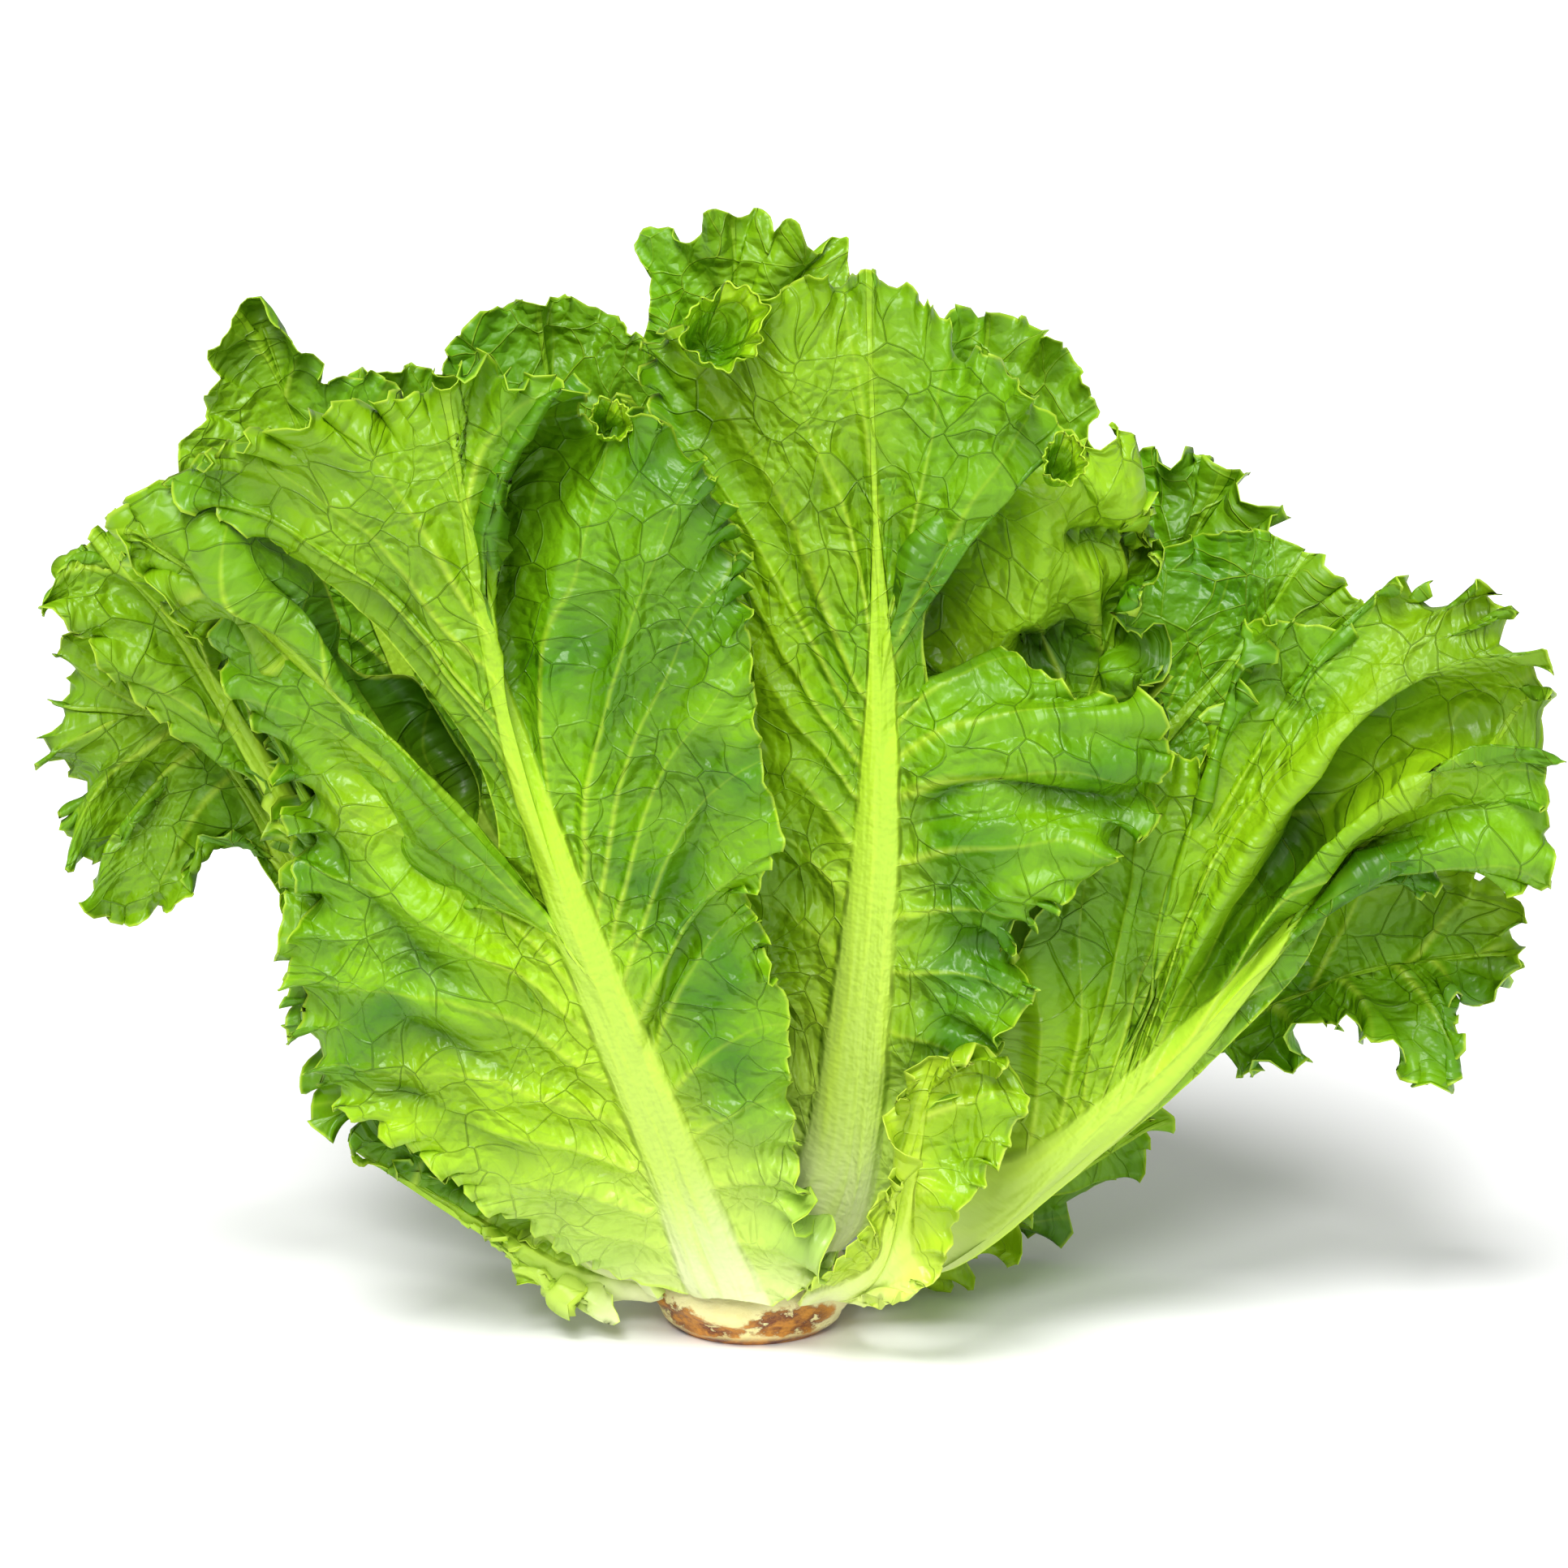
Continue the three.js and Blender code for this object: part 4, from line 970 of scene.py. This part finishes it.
# ---- The leaves at the right ----
# A long leaf that leans far out to the right on a bare white rib, and a darker one that
# hangs below and behind it.
RIGHT_LEAVES = {  # name: what its Rib takes, and the lines from it to the margin
    "right_leaf": (
        (84, 10, [(46, -14, 24), (80, -24, 57), (116, -28, 100), (150, -22, 156)], (0.1, -1, 0.3), 9.5),
        [
            (0.01, (21.5, -11.5, 10)), (0.05, (37, -14, 21)), (0.09, (39, -17, 38)),
            (0.13, (44, -20, 57)), (0.17, (51, -23, 75), 0.1), (0.21, (58, -25, 93), 0.2),
            (0.25, (68, -26, 110), 0.4), (0.28, (77, -27, 123), 0.8, (-1, 0, 1)),
            (0.305, (84, -29, 133), 1, (-3, -1, 2)), (0.32, (93, -29, 131), 0.9, (-3, 0, 1)),
            (0.335, (98, -31, 145), 1, (-4, -1, 2)), (0.35, (103, -32, 161), 1, (-6, -2, 3)),
            (0.36, (114, -30, 160), 0.5, (-8, -1, 4)), (0.365, (124, -28, 158), 0.4, (-10, 0, 6)),
            (0.37, (131, -28, 167), 0.9, (-12, -2, 8)), (0.375, (140, -28, 168), 1, (-14, -3, 10)),
            (0.38, (148, -28, 167), 1, (-15, -4, 11)), (0.385, (155, -29, 162), 1, (-16, -5, 12)),
            (0.395, (161, -30, 155), 1, (-16, -8, 12)), (0.42, (164, -27, 147), 1, (-13, 7, 6)),
            (0.45, (166, -28, 139), 1, (-10, 1, 10)), (0.48, (166, -29, 132), 1, (-9, -8, 14)),
            (0.51, (165, -26, 122), 1, (-6, 4, 8)), (0.54, (166, -26, 113), 1, (-4, -2, 8)),
            (0.56, (165, -25, 106), 1, (-2, -2, 8)), (0.57, (158, -24, 105), 0.9, (-1, -2, 8)),
            (0.58, (152, -24, 111), 0.8, (0, -2, 8)), (0.59, (146, -23, 109), 0.8, (0, -2, 6)),
            (0.6, (142, -22, 102), 0.8, (0, -2, 4)), (0.59, (133, -22, 106), 0.5, (0, -1, 3)),
            (0.58, (128, -23, 110), 0.3, (0, 0, 2)), (0.57, (123, -24, 112), 0.2),
            (0.56, (123, -24, 103), 0.1), (0.52, (116, -24, 87)), (0.43, (100, -24, 69)),
            (0.32, (81, -22, 50)), (0.2, (63, -18, 33)), (0.1, (47, -13, 19)), (0.01, (24, 7, 10)),
        ],
    ),
    "lower_right_leaf": (
        (113, 19, [(58, 14, 34), (96, 14, 58), (130, 10, 75), (162, 4, 82)], (0.2, -0.8, 0.2), 8),
        [
            (0.01, (14, 13, 19)), (0.12, (57, 14, 37)), (0.28, (75, 14, 60)), (0.42, (92, 14, 78)),
            (0.55, (109, 12, 95), 0.3), (0.66, (125, 10, 104), 0.6, (0, -1, 0)),
            (0.76, (138, 8, 110), 0.8, (0, -2, 0)), (0.86, (152, 5, 102), 1, (0, -2, 0)),
            (0.94, (164, 3, 93), 1, (0, -2, 0)), (0.96, (165, 2, 83), 1),
            (0.92, (160, 0, 72), 1, (0, -2, 0)), (0.88, (150, -2, 74), 1, (0, -4, 0)),
            (0.86, (151, -4, 61), 1, (0, -4, 0)), (0.82, (148, -6, 54), 1, (0, -4, 2)),
            (0.76, (134, -6, 63), 1, (0, -4, 2)), (0.7, (124, -2, 69), 0.8, (0, -2, 0)),
            (0.64, (116, 2, 57), 1, (0, -2, 0)), (0.58, (108, 6, 55), 1, (0, -1, 0)),
            (0.5, (100, 10, 59), 1), (0.38, (86, 13, 48), 0.3), (0.22, (65, 14, 30)),
            (0.01, (20, 4, 19)),
        ],
    ),
}
RIGHT_LEAF_FOLDS = [
    ([(88, 80), (93, 93), (101, 111), (112, 126), (120, 137), (130, 144)], 3.6, (5, 2.4)),
    ([(105, 94), (108, 104), (115, 116), (119, 126), (123, 135), (131, 141), (144, 149)], -6.5, (1.6, 3.4)),
    ([(110, 91), (117, 109), (123, 118), (135, 126), (146, 126)], 5, (2.6, 3.6)),
    ([(113, 90), (118, 97), (128, 108), (134, 112)], -5, (3, 2)),
    ([(120, 141), (106, 148), (96, 155)], -2.5, (3, 3)),
    ([(78, 61), (81, 79), (84, 97), (80, 112)], -2.4, (4, 3)),
]
for number, (name, (growth, veins)) in enumerate(RIGHT_LEAVES.items()):
    rib = Rib(*growth, end=0.7)
    leaf = grow_leaf(
        name, rib, veins, 41 + number, OUTER_SKINS, frill=0.8, spacing=0.8, tone=0.35,
        scallops=(6.8, 1.2), folds=RIGHT_LEAF_FOLDS if name == "right_leaf" else (),
    )
    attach(leaf, "root")
    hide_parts(name)

# ---- The crumpled leaf and the pointed one ----
# Two inner leaves: one squeezed between the centre leaf and the right one, with hard
# creases, and a long pointed one that sticks up at the left.
INNER_SKINS = [
    make_leaf_skin(
        "inner_leaf_lower_side", (0.055, 0.225, 0.001), (0.22, 0.52, 0.0015), (0.40, 0.69, 0.006),
        (0.53, 0.76, 0.045), 0.24, (0.55, 0.80, 0.01), (0.47, 0.64, 0.10),
    ),
    make_leaf_skin(
        "inner_leaf_upper_side", (0.07, 0.26, 0.001), (0.20, 0.49, 0.0015), (0.35, 0.63, 0.005),
        (0.48, 0.73, 0.03), -0.45, (0.47, 0.77, 0.01), (0.58, 0.72, 0.16),
    ),
]
POINTED_LEAF_VEINS = [
    (0.01, (-12, 2, 37)), (0.25, (-57, 14, 100)), (0.45, (-88, 17, 140)), (0.6, (-114, 20, 171), 0.4),
    (0.66, (-121, 19, 182), 0.8), (0.71, (-121, 17, 190), 0.9), (0.745, (-119, 17, 192), 0.6),
    (0.775, (-115, 20, 197), 0.8), (0.8, (-116, 20, 199), 0.7), (0.825, (-112, 18, 204), 0.4),
    (0.85, (-114, 17, 209), 0.7), (0.88, (-113, 17, 211), 0.5), (0.91, (-110, 18, 214), 0.3),
    (0.95, (-107, 19, 219), 0.4), (0.98, (-105, 19, 220), 0.3), (0.95, (-102, 18, 217), 0.3),
    (0.92, (-100, 17, 213), 0.5), (0.895, (-96, 18, 209), 0.6), (0.87, (-92, 20, 206), 0.8),
    (0.84, (-91, 21, 202), 0.7), (0.8, (-87, 20, 203), 0.9), (0.76, (-78, 18, 203), 1),
    (0.7, (-73, 18, 195), 0.8), (0.6, (-70, 18, 174), 0.3), (0.45, (-64, 18, 149)),
    (0.25, (-47, 14, 110)), (0.01, (-10.5, -7, 37)),
]
rib = Rib(-86, 37, [(-38, 8, 70), (-68, 18, 125), (-92, 25, 180), (-106, 27, 218)], (-0.3, -1, 0), 5)
pointed_leaf = grow_leaf(
    "far_top_left_leaf", rib, POINTED_LEAF_VEINS, 57, INNER_SKINS, frill=0.4, spacing=1.0, tone=0.4
)
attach(pointed_leaf, "root")
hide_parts("far_top_left_leaf")

CRUMPLED_LEAF_VEINS = [
    (0.01, (12, -4, 28)), (0.2, (35, -9, 62)), (0.36, (33, -11, 99)), (0.5, (31, -13, 131)),
    (0.58, (33, -16, 147), 0, (0, -3, 0)), (0.64, (37, -22, 164), 0, (0, -5, 0)),
    (0.7, (43, -25, 178), 0, (0, -6, 0)), (0.76, (54, -27, 190), 0.2, (0, -6, 0)),
    (0.81, (67, -27, 197), 0.8, (0, -4, 0)), (0.85, (75, -26, 200), 1, (0, -4, 0)),
    (0.89, (81, -24, 189), 1, (0, 4, 0)), (0.91, (80, -22, 179), 1, (0, -4, 0)),
    (0.93, (84, -20, 173), 1, (0, 4, 0)), (0.88, (80, -22, 165), 1, (0, -5, 0)),
    (0.82, (82, -20, 155), 1, (0, 5, 0)), (0.76, (84, -21, 143), 1, (0, -4, 0)),
    (0.7, (84, -19, 136), 1, (0, 3, 0)), (0.6, (81, -17, 125), 0.3), (0.48, (78, -14, 106)),
    (0.32, (70, -10, 84)), (0.16, (56, -6, 56)), (0.01, (13, 1, 28)),
]
rib = Rib(73, 28, [(46, -10, 66), (62, -12, 110), (74, -12, 150), (82, -10, 186)], (0.1, -1, 0.1), 6.5)
CRUMPLED_LEAF_FOLDS = [
    ([(68, 189), (60, 182), (60, 171), (59, 162), (54, 160), (52, 154), (44, 141)], 8, (1.6, 7.5)),
    ([(84, 178), (71, 178), (62, 178)], -7.5, (5, 1.4)),
    ([(53, 156), (61, 153), (70, 155), (81, 160)], -7, (1.6, 4)),
    ([(63, 176), (68, 169), (71, 159), (76, 147), (82, 139)], 5, (3.5, 1.6)),
    ([(65, 195), (71, 190), (79, 186)], 2.5, (3, 3)),
]
crumpled_leaf = grow_leaf(
    "crumpled_leaf", rib, CRUMPLED_LEAF_VEINS, 51, INNER_SKINS, frill=0.5, spacing=0.85,
    crumple=3.0, tone=0.15, folds=CRUMPLED_LEAF_FOLDS,
)
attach(crumpled_leaf, "root")
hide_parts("crumpled_leaf")

# ---- The pale folded leaf ----
# A young narrow leaf folded along its rib, in front of the right leaf's foot. It's thin
# and pale, and lets the light through.
PALE_SKINS = [
    make_leaf_skin(
        "pale_leaf_" + side, (0.26, 0.52, 0.004), (0.46, 0.70, 0.01), (0.60, 0.80, 0.04),
        (0.66, 0.82, 0.09), 0.3, (0.6, 0.85, 0.02), (0.72, 0.82, 0.28),
    )
    for side in ("lower_side", "upper_side")
]
PALE_LEAF_VEINS = [
    (0.01, (10, -20, 10.5)), (0.1, (17, -40, 24), 0.4), (0.2, (23, -44, 31), 0.8, (0, -1, 0)),
    (0.32, (29, -46, 39), 1, (0, -1, 0)), (0.44, (31, -47, 47), 1, (0, -1, 0)),
    (0.56, (29, -48, 55), 1, (0, -1, 0)), (0.68, (33, -48, 65), 1, (0, -1, 0)),
    (0.8, (38, -48, 70), 1), (0.93, (47, -47, 72), 1), (0.85, (57, -45, 65), 0.7),
    (0.72, (54, -46, 55), 0.7, (0, -1, 0)), (0.6, (49, -45, 46), 0.8, (0, -1, 0)),
    (0.48, (43, -44, 39), 0.9, (0, -1, 0)), (0.34, (41, -43, 32), 0.8, (0, -1, 0)),
    (0.2, (38, -40, 23), 0.6), (0.1, (30, -36, 17), 0.3), (0.01, (20, -13, 10.5)),
]
rib = Rib(41, 12, [(27, -31, 22), (32, -39, 44), (38, -44, 70)], (0.2, -1, 0.2), 6.5)
pale_leaf = grow_leaf("pale_folded_leaf", rib, PALE_LEAF_VEINS, 65, PALE_SKINS, frill=0.6, columns=20)
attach(pale_leaf, "root")
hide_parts("pale_folded_leaf")

# ---- The small leaves next to the table ----
# Plainer leaves of the same kind: their veins leave the rib evenly, and the blade is
# widest above its middle.
EVEN_VEINS = 14  # lines in each half of a blade
WIDENING = 0.45  # the share of those lines that lie below the widest place


def even_veins(rib, half, cup=(20, 20), widest=(0.7, 0.7), spread=(1.6, 1.6)):
    """The lines from the rib to the margin of an evenly grown leaf. half, cup, widest and
    spread are the widths of the halves, how far they turn in, the share of the length where
    they are widest and how late they widen, for the left half and the right one."""
    sides = []
    for side in (0, 1):
        foot = rib.foot / half[side]
        q = np.linspace(0, 1, EVEN_VEINS)
        low = np.clip(q / WIDENING, 0, 1)
        high = np.clip((q - WIDENING) / (1 - WIDENING), 0, 1) * math.pi / 2
        swelling = foot + (1 - foot) * np.sin(low * math.pi / 2) ** spread[side]
        x = np.where(q < WIDENING, swelling, np.cos(high) ** 0.8)
        y = np.where(q < WIDENING, low * widest[side], widest[side] + (1 - widest[side]) * np.sin(high))
        root = 0.9 * y * (1 - 0.4 * x)
        sign = (-1, 1)[side]

        def spot(part):
            across = sign * part * x * half[side]
            share = root + (y - root) * part
            own = math.radians(cup[side]) / half[side]
            bend = 1 / rib.radius + (own - 1 / rib.radius) * smooth(0, 0.35, share)
            bend = np.where(np.abs(bend) < 1e-6, 1e-6, bend)
            angle = bend * np.abs(across)
            centre, _, out, beside = rib.at(share)
            return (
                centre + beside * (np.sign(across) * np.sin(angle) / bend)[:, None]
                - out * ((1 - np.cos(angle)) / bend)[:, None]
            )

        start, middle, end = spot(0.0), spot(0.5), spot(1.0)
        bows = middle - (start + end) / 2
        full = smooth(0.05, 0.4, q)
        sides.append(list(zip(root, end, full, bows)))
    return sides[0] + sides[1][-2::-1]


PLAIN_LEAVES = {  # name: what its Rib takes, and what even_veins takes
    "low_right_leaf": (
        (104, 5.5, [(34, 8, 8), (46, 9, 16), (58, 8, 25)], (0.2, -1, -0.4), 5),
        dict(half=(6, 12), widest=(0.5, 0.5)),
    ),
    "low_back_leaf": (
        (136, 5.5, [(34, 30, 7), (62, 34, 17), (92, 33, 36)], (0.2, -0.8, -0.8), 5),
        dict(half=(18, 14), widest=(0.6, 0.6)),
    ),
}
for number, (name, (growth, blade)) in enumerate(PLAIN_LEAVES.items()):
    rib = Rib(*growth)
    leaf = grow_leaf(
        name, rib, even_veins(rib, **blade), 61 + number, OUTER_SKINS, frill=0.9, columns=20, spacing=1.2
    )
    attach(leaf, "root")
    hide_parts(name)

# ---- The leaves at the back ----
# Four broad soft leaves that close the head from behind. Two grow low down with the outer
# leaves and two just above them, and their feet clasp the stem like the front ones.
BACK_LEAVES = {  # name: what its Rib takes, and what even_veins takes
    "rear_right_leaf": (
        (149, 12, [(32, 38, 46), (52, 58, 96), (68, 70, 146), (78, 74, 178)], (0.5, 1, 0.05), 9.5),
        dict(half=(48, 50), cup=(33, 22), spread=(2.4, 1.6)),
    ),
    "rear_left_leaf": (
        (-164, 10, [(-20, 40, 44), (-44, 60, 90), (-62, 72, 138), (-74, 76, 176)], (-0.35, 1, 0.05), 9.5),
        dict(half=(50, 50), cup=(22, 45)),
    ),
    "rear_middle_left_leaf": (
        (-139, 19, [(-42, 32, 60), (-70, 46, 110), (-92, 54, 160), (-104, 56, 192)], (-0.5, 1, 0.05), 8),
        dict(half=(40, 40), cup=(20, 40)),
    ),
    "rear_middle_right_leaf": (
        (167, 19, [(10, 39, 60), (14, 54, 115), (16, 63, 170), (18, 66, 208)], (0.1, 1, 0.05), 8),
        dict(half=(44, 44), cup=(25, 25)),
    ),
}
for number, (name, (growth, blade)) in enumerate(BACK_LEAVES.items()):
    rib = Rib(*growth)
    leaf = grow_leaf(
        name, rib, even_veins(rib, **blade), 71 + number, OUTER_SKINS, columns=20, spacing=1.6,
        lobes=(4.0, 45.0),
    )
    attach(leaf, "root")
    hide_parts(name)

# ---- The inner leaves ----
# Younger leaves that stand behind the front ones. Only their frilled tops show, and the
# pointed lobes of the tallest.
TOP_LEAF_VEINS = [
    (0.01, (6, 35, 66)), (0.25, (35, 45, 121)), (0.45, (40, 52, 157)), (0.6, (36, 56, 185), 0.2),
    (0.7, (28, 58, 203), 0.4), (0.76, (23, 60, 214), 0.3), (0.79, (21, 62, 222), 0.3),
    (0.81, (20, 64, 229), 0.4), (0.825, (18, 64, 228), 0.4), (0.835, (15, 62, 225), 0.2),
    (0.85, (12, 58, 227), 0.2), (0.865, (9, 55, 233), 0.5), (0.87, (7, 55, 233), 0.5),
    (0.88, (5, 57, 230), 0.2), (0.9, (3, 60, 234), 0.4), (0.93, (1, 62, 235), 0.5),
    (0.96, (-2, 60, 233), 0.2), (0.97, (-5, 56, 234), 0.2), (0.95, (-7, 54, 235), 0.4),
    (0.92, (-10, 54, 235), 0.4), (0.9, (-11, 56, 230), 0.2), (0.88, (-15, 60, 227), 0.2),
    (0.86, (-18, 63, 228), 0.2), (0.84, (-20, 65, 230), 0.4), (0.82, (-26, 66, 228), 0.5),
    (0.79, (-23, 64, 222), 0.3), (0.76, (-22, 60, 216), 0.2), (0.7, (-24, 58, 206), 0.4),
    (0.6, (-30, 54, 185), 0.2), (0.45, (-32, 50, 157)), (0.25, (-24, 42, 122)), (0.01, (-6, 35, 66)),
]
rib = Rib(175, 28, [(0, 36, 66), (-2, 50, 130), (-4, 58, 190), (-4, 60, 232)], (0, 1, 0), 6.5)
top_leaf = grow_leaf(
    "top_leaf", rib, TOP_LEAF_VEINS, 83, INNER_SKINS, frill=0.5, spacing=0.9, puff=2.2, tone=0.3,
    teeth=(3.2, 0.7), scallops=(7.5, 0.6),
)
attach(top_leaf, "root")
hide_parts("top_leaf")

INNER_LEAVES = {  # name: what its Rib takes, what even_veins takes, and how dark it is
    "back_right_leaf": (
        (124, 28, [(36, 24, 62), (66, 34, 112), (90, 40, 154), (102, 42, 180)], (0.3, 1, 0), 6.5),
        dict(half=(34, 34)), 0.5,
    ),
    "back_left_leaf": (
        (-134, 28, [(-22, 25, 66), (-34, 38, 120), (-42, 45, 175), (-46, 46, 217)], (-0.1, 1, 0), 6.5),
        dict(half=(34, 34)), 0.65,
    ),
    "side_right_leaf": (
        (98, 37, [(45, 8, 70), (80, 14, 116), (106, 20, 146), (120, 24, 166)], (0.3, 1, 0), 5),
        dict(half=(34, 34), spread=(2, 2)), 0.3,
    ),
    "top_right_leaf": (
        (152, 37, [(20, 24, 70), (36, 36, 130), (46, 44, 180), (52, 46, 212)], (0.2, 1, 0), 5),
        dict(half=(34, 34), spread=(2, 2)), 0.55,
    ),
    "top_left_leaf": (
        (-145, 37, [(-30, 17, 70), (-54, 26, 120), (-74, 32, 170), (-84, 34, 204)], (-0.2, 1, 0), 5),
        dict(half=(30, 30), spread=(2, 2)), 0.65,
    ),
}
for number, (name, (growth, blade, tone)) in enumerate(INNER_LEAVES.items()):
    rib = Rib(*growth)
    leaf = grow_leaf(
        name, rib, even_veins(rib, **blade), 81 + number, INNER_SKINS, frill=0.7, columns=24, spacing=1.0,
        lobes=(3.0, 40.0), tone=tone,
    )
    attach(leaf, "root")
    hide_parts(name)

# ---- The heart ----
# The youngest leaves, small, pale and cupped round each other in the middle of the head.
# They grow near the top of the stem.
HEART_SKINS = [
    make_leaf_skin(
        "heart_leaf_" + side, (0.30, 0.52, 0.05), (0.48, 0.68, 0.11), (0.62, 0.77, 0.2),
        (0.70, 0.80, 0.3), 0.2, (0.6, 0.8, 0.1), (0.75, 0.8, 0.4),
    )
    for side in ("lower_side", "upper_side")
]
HEART_LEAVES = {  # name: what its Rib takes
    "heart_right_leaf": (40, 46, [(12, -8, 80), (14, -10, 120), (12, -8, 150)], (0.6, -1, 0), 3.5),
    "heart_back_leaf": (165, 46, [(2, 12, 80), (2, 16, 120), (2, 16, 156)], (0, 1, 0), 3.5),
    "heart_left_leaf": (-70, 46, [(-14, -2, 80), (-18, -4, 120), (-18, -4, 152)], (-1, -0.2, 0), 3.5),
}
for number, (name, growth) in enumerate(HEART_LEAVES.items()):
    rib = Rib(*growth)
    leaf = grow_leaf(
        name, rib, even_veins(rib, half=(20, 20), cup=(60, 60)), 91 + number, HEART_SKINS,
        frill=0.7, columns=16, spacing=2.4,
    )
    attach(leaf, "root")
    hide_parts(name)

# ---- Floor and light ----
# A plain white floor. A soft light comes from the upper left, weaker ones from the front and
# the right, and even light from all round.
FLOOR_HALF = 40
ALL_ROUND_LIGHT = 0.33


def make_floor():
    material, add = nodes_of("pale_floor")
    place = add("TexCoord").outputs["Object"]
    mottle = add("TexNoise", Vector=place, Scale=3, Detail=3).outputs["Fac"]
    tone = add("MapRange", Value=mottle, i1=0.2, i2=0.8, i3=0.95, i4=0.97).outputs[0]
    white = add("CombineColor", i0=tone, i1=tone, i2=tone).outputs[0]
    paint = add("BsdfPrincipled", Base_Color=white)
    paint.inputs["Roughness"].default_value = 0.9
    paint.inputs["Specular IOR Level"].default_value = 0.1
    add("OutputMaterial", Surface=paint.outputs[0])
    mesh = bpy.data.meshes.new("floor")
    grid = bmesh.new()
    bmesh.ops.create_grid(grid, x_segments=8, y_segments=8, size=FLOOR_HALF)
    grid.to_mesh(mesh)
    grid.free()
    mesh.materials.append(material)
    floor = bpy.data.objects.new("floor", mesh)
    bpy.context.scene.collection.objects.link(floor)
    return floor


make_floor()

SUNS = [  # where it comes from, strength, how wide it is
    ((-0.26, -0.74, 1.25), 2.8, 24),
    ((-0.1, -1.0, 0.7), 1.25, 14),
    ((0.9, -1.0, 0.8), 0.45, 70),
]
for number, (source, strength, wide) in enumerate(SUNS):
    light = bpy.data.lights.new(f"soft_light_{number}", "SUN")
    light.energy = strength
    light.angle = math.radians(wide)
    lamp = bpy.data.objects.new(f"soft_light_{number}", light)
    lamp.rotation_euler = Vector(source).to_track_quat("Z", "Y").to_euler()
    bpy.context.scene.collection.objects.link(lamp)

world = bpy.data.worlds.new("world")
world.use_nodes = True
background = world.node_tree.nodes["Background"]
background.inputs["Color"].default_value = (1, 1, 1, 1)
background.inputs["Strength"].default_value = ALL_ROUND_LIGHT
bpy.context.scene.world = world
bpy.context.scene.view_settings.view_transform = "Standard"
